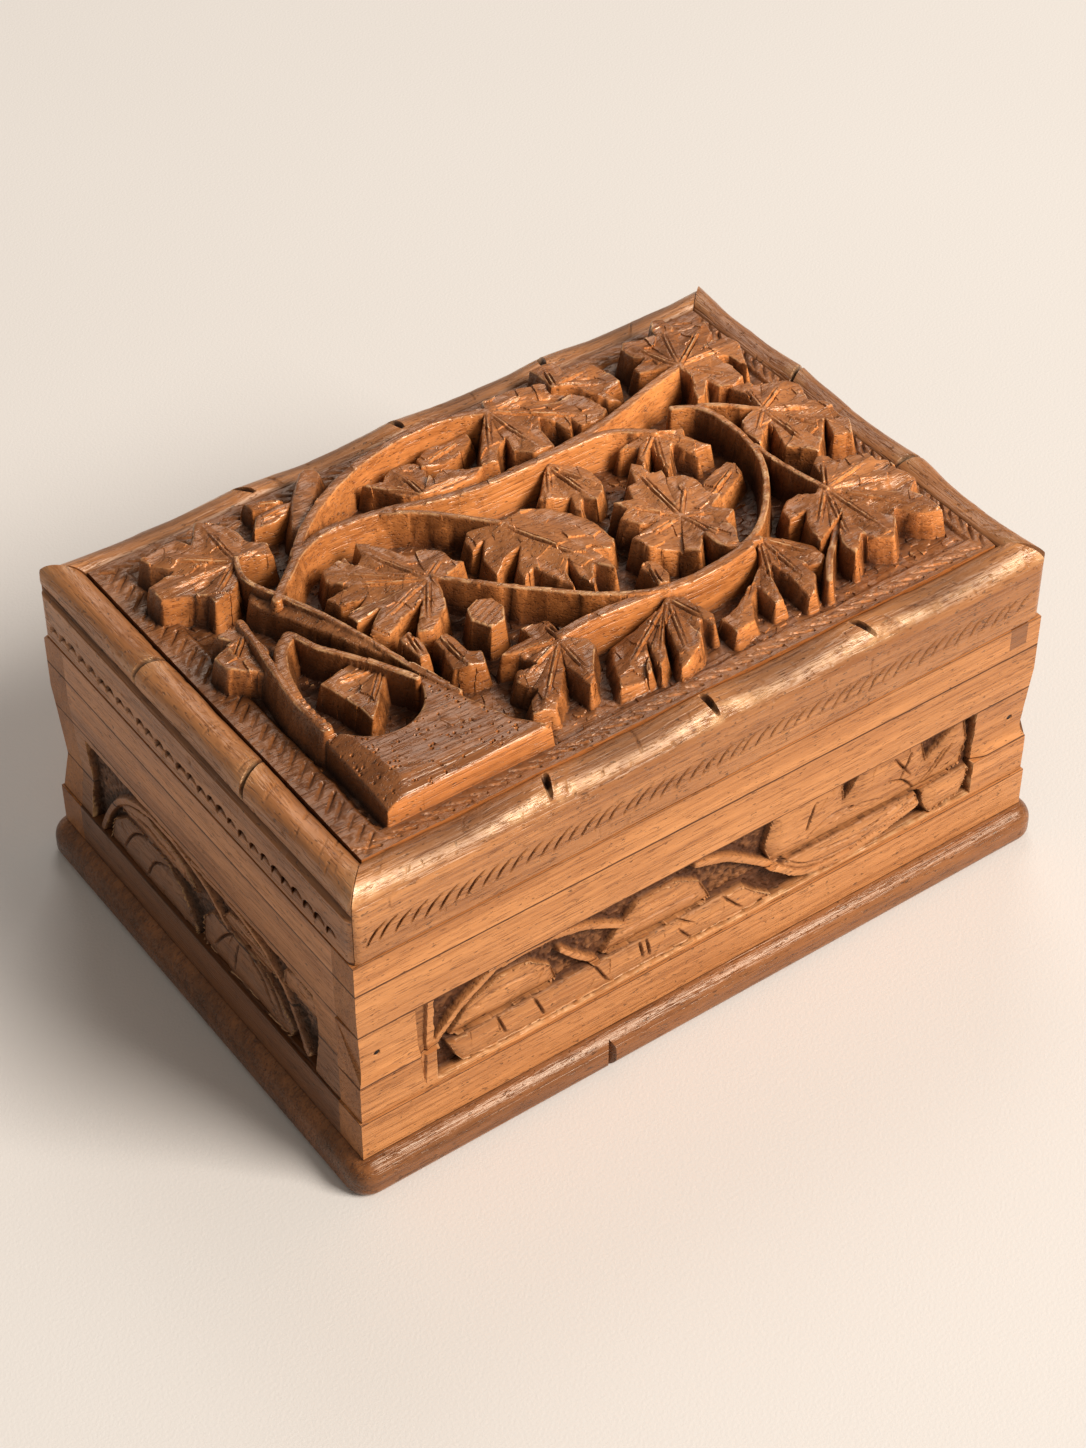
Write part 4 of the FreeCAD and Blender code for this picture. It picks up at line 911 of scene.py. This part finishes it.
def carved_depth(u, h, face, field, leaves, stems, cuts, seed):
    """How far a carved wall lies behind its plain face, the painted shade in its hollows, and the wear and
    painted glints on its edges.
    """
    recess = box_distance(u, h, *field) + 0.25 * noise(u, h, 3, seed)
    ground = CARVED_INSET - face + 0.3 * noise(u, h, 1.1, seed + 1) + 0.2 * noise(u, h, 0.6, seed + 2)
    form = np.full(u.shape, np.inf)
    swell = np.zeros(u.shape)
    for outline in leaves:
        d = outline_distance(u, h, cut_corners(outline, 0.06))
        swell = np.where(d < 0, np.clip(1.0 + d / 5.5, 0, 1) ** 2 * 0.8, swell)
        form = np.minimum(form, d)
    for width, points in stems:
        d, _ = path_distance(u, h, smooth_path(points))
        form = np.minimum(form, d - width / 2)
        swell = np.where(d < width / 2, 0.35 * (d / width) ** 2, swell)
    form = form + 0.08 * facets(u, h, 2.6, seed + 3)
    inside = smoothstep(0.5 - recess / 0.5)
    lift = np.clip(1 - np.clip(form, 0, None) / 0.8, 0, 1) ** 1.5
    carved = ground * (1 - lift) + (swell + 0.2 * facets(u, h, 5.0, seed + 4)) * lift
    for cut in cuts:
        d, along = path_distance(u, h, smooth_path(cut, 5))
        carved = carved + groove(d, 0.5, 1.0) * np.sin(math.pi * np.clip(0.15 + 0.7 * along, 0, 1)) * lift
    depth = inside * np.clip(carved, 0, None)
    depth = depth + 0.06 * noise(u, h * 2.5, 4, seed + 5)
    step = abs(u[1, 0] - u[0, 0])
    hollow = depth - blur(depth, max(1, int(2.2 / step)))
    # Painted shade: deeper and more sunken places get darker
    cavity = np.clip(0.38 * depth + 0.65 * np.clip(hollow, 0, None), 0, 1) * inside
    # Wear and painted glints on raised edges
    wear = np.clip(-(depth - blur(depth, max(1, int(0.6 / step)))) * 1.5, 0, 1)
    return depth, cavity, wear


def nail_dimples(u, z, height):
    """Small holes that show the nail heads at both ends of a board."""
    depth = np.zeros(u.shape)
    for x in (-NAIL_X, NAIL_X):
        hole = smoothstep((NAIL_RADIUS - np.hypot(u - x, z - height)) / 0.3)
        depth = np.maximum(depth, NAIL_DEPTH * hole)
    return depth


def wall_grid(first, last, step, foot, head, rows):
    """Grid of places along a wall and heights on it."""
    along = np.arange(first, last + 0.01, step)
    return np.meshgrid(along, np.linspace(foot, head, rows), indexing="ij")


def tongue_points(span, base, tip, taper):
    """Points of a tongue or groove along a board's edge, from its front to its back."""
    front, back = span
    return [(front, base), (front + taper, tip), (back - taper, tip), (back, base)]


def add_front_panel(material):
    """Carved board over the strip, with the groove for the strip's upper tongue."""
    low, high = node_span("front_carved_panel")
    foot, head = low[2], high[2]
    u, z = wall_grid(low[0], high[0], FRONT_STEP, foot, head, PANEL_ROWS)
    left, right = FRONT_FIELD
    face = WAIST_INSET + (NECK_INSET - WAIST_INSET) * (z - foot) / (head - foot)
    ends = smoothstep((np.abs(u - (left + right) / 2) - (right - left) / 2 - 1.5) / 3)
    face = face - (WAIST_INSET - SLIDE_INSET) * ends * np.clip(1 - (z - foot) / 4.5, 0, 1) ** 2
    u = u * (BOX_HALF_X - face) / -low[0]
    field = FRONT_FIELD + (-20, head - SEAM + 2)
    depth, cavity, wear = carved_depth(u, z - SEAM, face, field, FRONT_LEAVES, FRONT_STEMS, FRONT_CUTS, 60)
    post = 0.9 * smoothstep(0.5 - outline_distance(u, z - SEAM, FRONT_POST) / 0.6)
    depth = depth + post + nail_dimples(u, z, (foot + head) / 2)
    slot = np.where(u[:, :1] > -BOX_HALF_X + WALL - 0.2, GROOVE_REACH, HAIR)
    under = [(WALL, head), (WALL, foot)] + tongue_points(GROOVE, foot, foot + slot, SLIVER)[::-1]
    # Painted shade in the post's deeper recess
    cavity = cavity + 0.5 * post
    loft_wall("front_carved_panel", "front", "box", u, z, face + depth, under, cavity, wear, material)


def add_strip(material):
    """Sliding strip with its tongues and the slot for the stop peg."""
    low, high = node_span("front_slide")
    foot, head = low[2] + TONGUE_REACH, high[2] - TONGUE_REACH
    u, z = wall_grid(low[0], high[0], FRONT_STEP, foot, head, STRIP_ROWS)
    face = np.full(u.shape, SLIDE_INSET)
    field = FRONT_FIELD + (-10.0, 4)
    depth, cavity, wear = carved_depth(u, z - SEAM, face, field, FRONT_LEAVES, FRONT_STEMS, FRONT_CUTS, 70)
    depth = depth + 0.7 * smoothstep(0.5 - outline_distance(u, z - SEAM, STRIP_POINT) / 0.6)
    run = u[:, :1]
    tongue = np.where(run > -BOX_HALF_X + WALL, TONGUE_REACH, HAIR)
    at_slot = (run > PEG_SLOT_X[0]) & (run < PEG_SLOT_X[1])
    slot = np.where(at_slot, PEG_SLOT_FLOOR, STRIP_BACK - HAIR)
    slot_foot, slot_head = PEG_SLOT_Z
    back = [
        (STRIP_BACK, head), (STRIP_BACK, slot_head), (slot, slot_head - SLIVER), (slot, slot_foot + SLIVER),
        (STRIP_BACK, slot_foot), (STRIP_BACK, foot),
    ]
    upper = tongue_points(TONGUE, head, head + tongue, TONGUE_TAPER)
    lower = tongue_points(TONGUE, foot, foot - tongue, TONGUE_TAPER)
    under = upper + back + lower[::-1]
    loft_wall("front_slide", "front", "strip", u, z, face + depth, under, cavity, wear, material)


def add_side_panel(side, material):
    """Carved end board; the right one is the left one's mirror image."""
    node = side + "_carved_panel"
    low, high = node_span(node)
    u, z = wall_grid(low[1], high[1], SIDE_STEP, low[2], high[2], SIDE_ROWS)
    below = SLIDE_INSET + (WAIST_INSET - SLIDE_INSET) * (z - low[2]) / (SEAM - low[2])
    above = WAIST_INSET + (NECK_INSET - WAIST_INSET) * (z - SEAM) / (high[2] - SEAM)
    face = np.where(z < SEAM, below, above)
    drawn, seed = (u, 80) if side == "left" else (-u, 90)
    field = SIDE_FIELD + (-20, 14.0)
    carving = (SIDE_LEAVES, SIDE_STEMS, SIDE_CUTS)
    depth, cavity, wear = carved_depth(drawn, z - SEAM, face, field, *carving, seed)
    under = [(WALL, high[2]), (WALL, low[2])]
    loft_wall(node, side, "box", u, z, face + depth, under, cavity, wear, material)


def loft_wall(node, side, body, u, z, inset, under, cavity, wear, material):
    """Board with a carved outer face and the given points behind it."""
    sections = [wall_place(side, u, z, inset)]
    for behind, height in under:
        sections.append(wall_place(side, u[:, :1], height, behind))
    mesh = loft_mesh(node + "_carved", np.concatenate(sections, axis=1), cavity=cavity, wear=wear)
    add_piece(node, mesh, body, material)


class Nodes:
    """Short way to write a material's node tree."""

    def __init__(self, name):
        self.material = bpy.data.materials.new(name)
        self.material.use_nodes = True
        self.tree = self.material.node_tree
        self.shader = self.tree.nodes["Principled BSDF"]

    def add(self, kind, inputs=None, **settings):
        node = self.tree.nodes.new("ShaderNode" + kind)
        for key, value in settings.items():
            setattr(node, key, value)
        for key, value in (inputs or {}).items():
            self.put(node.inputs[key], value)
        return node

    def put(self, socket, value):
        if isinstance(value, bpy.types.NodeSocket):
            self.tree.links.new(value, socket)
        else:
            socket.default_value = value

    def math(self, operation, a, b=0.0, clamp=False):
        return self.add("Math", {0: a, 1: b}, operation=operation, use_clamp=clamp).outputs[0]

    def plus(self, a, b, clamp=False):
        return self.math("ADD", a, b, clamp)

    def minus(self, a, b, clamp=False):
        return self.math("SUBTRACT", a, b, clamp)

    def times(self, a, b, clamp=False):
        return self.math("MULTIPLY", a, b, clamp)

    def ramp(self, value, low, high):
        """Smooth step of a value from 0 at low to 1 at high."""
        settings = {"Value": value, "From Min": low, "From Max": high}
        return self.add("MapRange", settings, interpolation_type="SMOOTHSTEP").outputs[0]

    def mix(self, share, a, b, blend="MIX"):
        node = self.add("Mix", data_type="RGBA", blend_type=blend)
        self.put(node.inputs[0], share)
        self.put(node.inputs[6], a)
        self.put(node.inputs[7], b)
        return node.outputs[2]

    def tinted(self, tint, share, strength, factor):
        """Colour multiplied by a factor, as far as the share and a strength go."""
        return self.mix(self.times(share, strength), tint, self.mix(1.0, tint, factor, "MULTIPLY"))

    def bump(self, height, strength, distance):
        node = self.add("Bump", {"Height": height, "Strength": strength, "Distance": distance})
        self.put(self.shader.inputs["Normal"], node.outputs[0])

    def stretched(self, vector, axis, factor):
        """Coordinates that make a pattern longer along one axis."""
        scale = [1.0, 1.0, 1.0]
        scale[axis] = factor
        return self.add("Mapping", {"Vector": vector, "Scale": scale}).outputs[0]

    def attribute(self, name):
        """Shading value that the mesh carries."""
        return self.add("Attribute", attribute_name=name).outputs["Fac"]

    def noise(self, vector, scale, detail=2.0, rough=0.5):
        settings = {"Vector": vector, "Scale": scale, "Detail": detail, "Roughness": rough}
        return self.add("TexNoise", settings).outputs[0]


def colour(r, g, b):
    return (r, g, b, 1.0)


def wood(name, axis, light, dark, gloss, specular, seams=(), bottom_darkening=0.0, painted_light=0.0):
    """Oiled walnut with its grain along one axis, painted shade and dirt in hollows, dirty seams with a
    painted shadow line at the lid, and wear with painted glints on edges.
    """
    n = Nodes(name)
    coordinates = n.add("TexCoord")
    place = coordinates.outputs["Object"]
    normal = n.add("SeparateXYZ", {0: coordinates.outputs["Normal"]}).outputs
    across, _, height = n.add("SeparateXYZ", {0: place}).outputs
    board = n.times(n.add("ObjectInfo").outputs["Random"], 3.0)
    moved = n.add("VectorMath", {0: place, 1: board}, operation="ADD").outputs[0]
    grain = n.stretched(moved, axis, 0.07)
    long_grain = n.stretched(moved, axis, 0.015)

    figure = n.noise(grain, 80.0, 3.0, 0.55)
    streak = n.noise(grain, 480.0, 3.0, 0.6)
    fibre = n.noise(grain, 3000.0, 2.0, 0.6)
    line = n.ramp(n.noise(long_grain, 1300.0, 2.0), 0.53, 0.68)
    pore = n.ramp(n.noise(grain, 2700.0, 1.0), 0.61, 0.68)
    speck = n.ramp(n.noise(n.stretched(moved, axis, 0.4), 1300.0, 1.0), 0.69, 0.73)
    patch = n.noise(moved, 28.0, 2.0)

    tone = n.plus(n.times(figure, 0.7), n.times(streak, 0.5))
    tone = n.plus(tone, n.times(fibre, 0.22))
    tint = n.mix(n.ramp(tone, 0.45, 0.95), dark, light)
    tint = n.tinted(tint, n.ramp(patch, 0.35, 0.75), 0.35, colour(0.78, 0.68, 0.60))
    tint = n.tinted(tint, line, 0.55, colour(0.62, 0.52, 0.45))
    tint = n.tinted(tint, pore, 0.6, colour(0.42, 0.32, 0.26))
    tint = n.mix(n.times(speck, 0.6), tint, colour(0.05, 0.02, 0.009))
    end_grain = n.ramp(n.math("ABSOLUTE", normal[axis]), 0.4, 0.9)
    tint = n.tinted(tint, end_grain, 1.0, colour(0.60, 0.56, 0.54))
    if painted_light:
        # Painted light: faces towards the front, where the key lamp stands, made brighter
        front = n.ramp(n.times(normal[1], -1.0), 0.45, 0.85)
        tint = n.tinted(tint, front, painted_light, colour(1.85, 1.74, 1.45))
        # Painted shade: upward faces made darker
        top = n.ramp(normal[2], 0.7, 0.97)
        tint = n.tinted(tint, top, painted_light, colour(0.82, 0.80, 0.79))
        # Painted light falloff: darker to the left, brighter to the right
        right = n.ramp(across, -95 * MM, 75 * MM)
        painted_falloff = n.mix(right, colour(0.80, 0.78, 0.76), colour(1.12, 1.12, 1.12))
        tint = n.mix(1.0, tint, painted_falloff, "MULTIPLY")
    if bottom_darkening:
        # Darker towards the bottom of the wall
        foot = n.minus(1.0, n.ramp(height, 12 * MM, 58 * MM))
        tint = n.tinted(tint, foot, bottom_darkening, colour(0.25, 0.21, 0.19))

    # Painted shade and dirt in hollows, with dirt in the seams and a painted shadow line at the lid's seam,
    # darken the colour
    dirt_and_shadow = seam_dirt_and_shadow(n, height, normal[2], moved, seams) if seams else 0.0
    hollow = n.plus(n.attribute("cavity"), dirt_and_shadow, True)
    tint = n.tinted(tint, hollow, 0.95, colour(0.10, 0.055, 0.035))
    # Wear with a painted glint: pale colour along the very crests of edges
    wear = n.ramp(n.attribute("wear"), 0.4, 0.9)
    below_crest = n.ramp(n.minus(n.attribute("crest"), height), 0.15 * MM, 0.6 * MM)
    edge = n.minus(wear, below_crest, True)
    rubbed_and_highlight = n.times(edge, n.ramp(n.noise(moved, 260.0, 3.0), 0.32, 0.62), True)
    tint = n.mix(n.times(rubbed_and_highlight, 0.7), tint, colour(0.80, 0.46, 0.22))
    n.put(n.shader.inputs["Base Color"], tint)

    rough = n.plus(gloss, n.times(streak, 0.2))
    rough = n.plus(rough, n.times(hollow, 0.3))
    n.put(n.shader.inputs["Roughness"], n.minus(rough, n.times(edge, 0.1), True))
    n.shader.inputs["Specular IOR Level"].default_value = specular
    n.shader.inputs["Specular Tint"].default_value = colour(1.0, 0.88, 0.72)

    relief = n.minus(n.times(fibre, 0.4), n.times(pore, 0.8))
    relief = n.minus(relief, speck)
    relief = n.minus(relief, n.times(line, 0.5))
    relief = n.plus(relief, n.times(n.noise(grain, 900.0, 3.0, 0.6), 0.4))
    n.bump(relief, 0.5, 0.0004)
    return n.material


def seam_dirt_and_shadow(n, height, normal_z, moved, seams):
    """Dark lines on upright faces where boards meet, each at a height and with a half-width: dirt in the
    joints, and a painted shadow line in the gap below the lid.
    """
    uneven = n.times(n.noise(moved, 130.0, 3.0), 0.35 * MM)
    dirt_and_shadow = 0.0
    for seam, half_width in seams:
        gap = n.math("ABSOLUTE", n.minus(height, seam * MM))
        line = n.minus(1.0, n.ramp(n.minus(gap, uneven), 0.0, half_width * MM))
        dirt_and_shadow = n.math("MAXIMUM", line, dirt_and_shadow)
    level = n.ramp(n.math("ABSOLUTE", normal_z), 0.5, 0.8)
    return n.times(dirt_and_shadow, n.minus(0.95, level), True)


def metal(name, tint, worn, gloss):
    """Aged metal with tarnish, scratches and fine pits."""
    n = Nodes(name)
    place = n.add("TexCoord").outputs["Object"]
    cloud = n.ramp(n.noise(place, 350.0, 4.0, 0.65), 0.35, 0.68)
    scratch = n.noise(n.stretched(place, ALONG_X, 0.1), 4000.0, 2.0)
    n.put(n.shader.inputs["Base Color"], n.mix(cloud, tint, worn))
    n.shader.inputs["Metallic"].default_value = 1.0
    n.put(n.shader.inputs["Roughness"], n.plus(gloss, n.times(cloud, 0.25), True))
    height = n.plus(n.noise(place, 1800.0, 3.0), n.times(scratch, 0.4))
    n.bump(height, 0.35, 0.0001)
    return n.material


def dress_node(node, material, bevel=0.0):
    """Material, and softened edges, for a CAD node that stays."""
    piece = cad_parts[node]
    piece.data.materials.clear()
    piece.data.materials.append(material)
    if bevel:
        modifier = piece.modifiers.new("worn_edges", "BEVEL")
        modifier.width = bevel * MM
        modifier.segments = 2
        modifier.limit_method = "ANGLE"
        modifier.angle_limit = math.radians(BEVEL_ANGLE)
        modifier.harden_normals = False


def dress_nodes(long_wall, short_wall, base, plain, brass, iron):
    """Looks of the CAD nodes that the scene keeps."""
    dress_node("base_board", base, 0.25)
    for layer in ("bottom_rail_", "upper_rail_", "top_rail_"):
        for side in ("front", "back"):
            dress_node(layer + side, long_wall, 0.35)
        for side in ("left", "right"):
            dress_node(layer + side, short_wall, 0.35)
    dress_node("back_panel", long_wall, 0.35)
    dress_node("rail_patch", base, 0.1)
    dress_node("false_floor", plain, 0.3)
    for side in ("left", "right"):
        dress_node("floor_cleat_" + side, plain, 0.3)
        for part in ("hinge_leaf_body_", "hinge_leaf_lid_", "hinge_pin_"):
            dress_node(part + side, brass)
    for node in ("slide_stop_peg", "hinge_screws_body", "hinge_screws_lid"):
        dress_node(node, brass)
    for node in ("wall_nails_front", "wall_nails_back", "base_screws"):
        dress_node(node, iron)


def add_floor():
    """Large plain floor under and behind the box."""
    mesh = bpy.data.meshes.new("floor")
    signs = ((-1, -1), (1, -1), (1, 1), (-1, 1))
    corners = [(x * FLOOR_HALF, y * FLOOR_HALF, 0) for x, y in signs]
    mesh.from_pydata(corners, [], [(0, 1, 2, 3)])
    n = Nodes("floor_paper")
    place = n.add("TexCoord").outputs["Object"]
    tint = n.mix(n.noise(place, 4.0, 2.0), colour(0.75, 0.720, 0.685), colour(0.79, 0.760, 0.725))
    n.put(n.shader.inputs["Base Color"], tint)
    n.shader.inputs["Roughness"].default_value = 0.85
    n.bump(n.noise(place, 1200.0, 3.0), 0.2, 0.0004)
    mesh.materials.append(n.material)
    add_object("floor", mesh)


def add_light(name, place, size, power, tint):
    """Square lamp that faces the box."""
    lamp = bpy.data.lights.new(name, "AREA")
    lamp.size = size
    lamp.energy = power
    lamp.color = tint
    light = add_object(name, lamp)
    light.location = place
    light.rotation_euler = (Vector(LIGHT_TARGET) - Vector(place)).to_track_quat("-Z", "Y").to_euler()


def add_world():
    world = bpy.data.worlds.new("studio")
    world.use_nodes = True
    background = world.node_tree.nodes["Background"]
    background.inputs["Color"].default_value = colour(1.0, 0.92, 0.83)
    background.inputs["Strength"].default_value = 0.28
    bpy.context.scene.world = world


def add_camera():
    data = bpy.data.cameras.new("camera")
    data.lens = CAMERA_LENS
    data.sensor_width = SENSOR_WIDTH
    data.clip_start = 0.01
    camera = add_object("camera", data)
    turn = Matrix.Rotation(math.radians(CAMERA_AZIMUTH), 4, "Z")
    tilt = Matrix.Rotation(math.radians(90 - CAMERA_ELEVATION), 4, "X")
    camera.matrix_world = Matrix.Translation(CAMERA_PLACE) @ turn @ tilt
    bpy.context.scene.camera = camera


def main():
    lid_wood = wood(
        "walnut_lid_x", ALONG_X, colour(0.57, 0.228, 0.078), colour(0.24, 0.082, 0.024), 0.12,
        specular=0.6, painted_light=1.0)
    long_roll = wood(
        "walnut_roll_x", ALONG_X, colour(0.62, 0.27, 0.096), colour(0.30, 0.108, 0.032), 0.18,
        specular=0.55)
    short_roll = wood(
        "walnut_roll_y", ALONG_Y, colour(0.52, 0.218, 0.078), colour(0.23, 0.082, 0.026), 0.20,
        specular=0.6, seams=SEAMS)
    long_wall = wood(
        "walnut_wall_x", ALONG_X, colour(0.74, 0.325, 0.114), colour(0.42, 0.160, 0.048), 0.30,
        specular=0.45, seams=SEAMS)
    short_wall = wood(
        "walnut_wall_y", ALONG_Y, colour(0.60, 0.260, 0.104), colour(0.29, 0.110, 0.039), 0.22,
        specular=0.55, seams=SEAMS, bottom_darkening=0.9)
    base = wood(
        "walnut_base_x", ALONG_X, colour(0.36, 0.138, 0.045), colour(0.13, 0.044, 0.013), 0.18,
        specular=0.5)
    plain = wood(
        "plain_wood_x", ALONG_X, colour(0.50, 0.31, 0.17), colour(0.32, 0.175, 0.085), 0.5,
        specular=0.45)
    brass = metal("aged_brass", colour(0.62, 0.44, 0.18), colour(0.28, 0.17, 0.07), 0.32)
    iron = metal("dark_iron", colour(0.10, 0.085, 0.075), colour(0.05, 0.035, 0.03), 0.5)

    relief = Relief(LID_STEP)
    relief.carve()
    add_piece("lid_panel", relief.mesh(LID_TRIANGLES), "lid", lid_wood)
    add_mouldings(long_roll, short_roll)
    add_front_panel(long_wall)
    add_strip(long_wall)
    add_side_panel("left", short_wall)
    add_side_panel("right", short_wall)
    dress_nodes(long_wall, short_wall, base, plain, brass, iron)

    add_floor()
    add_world()
    add_light("key", KEY_PLACE, 1.5, 150.0, (1.0, 0.925, 0.85))
    add_light("sheen", SHEEN_PLACE, 0.9, 9.0, (1.0, 0.96, 0.94))
    add_camera()
    bpy.context.scene.view_settings.view_transform = "Standard"


main()
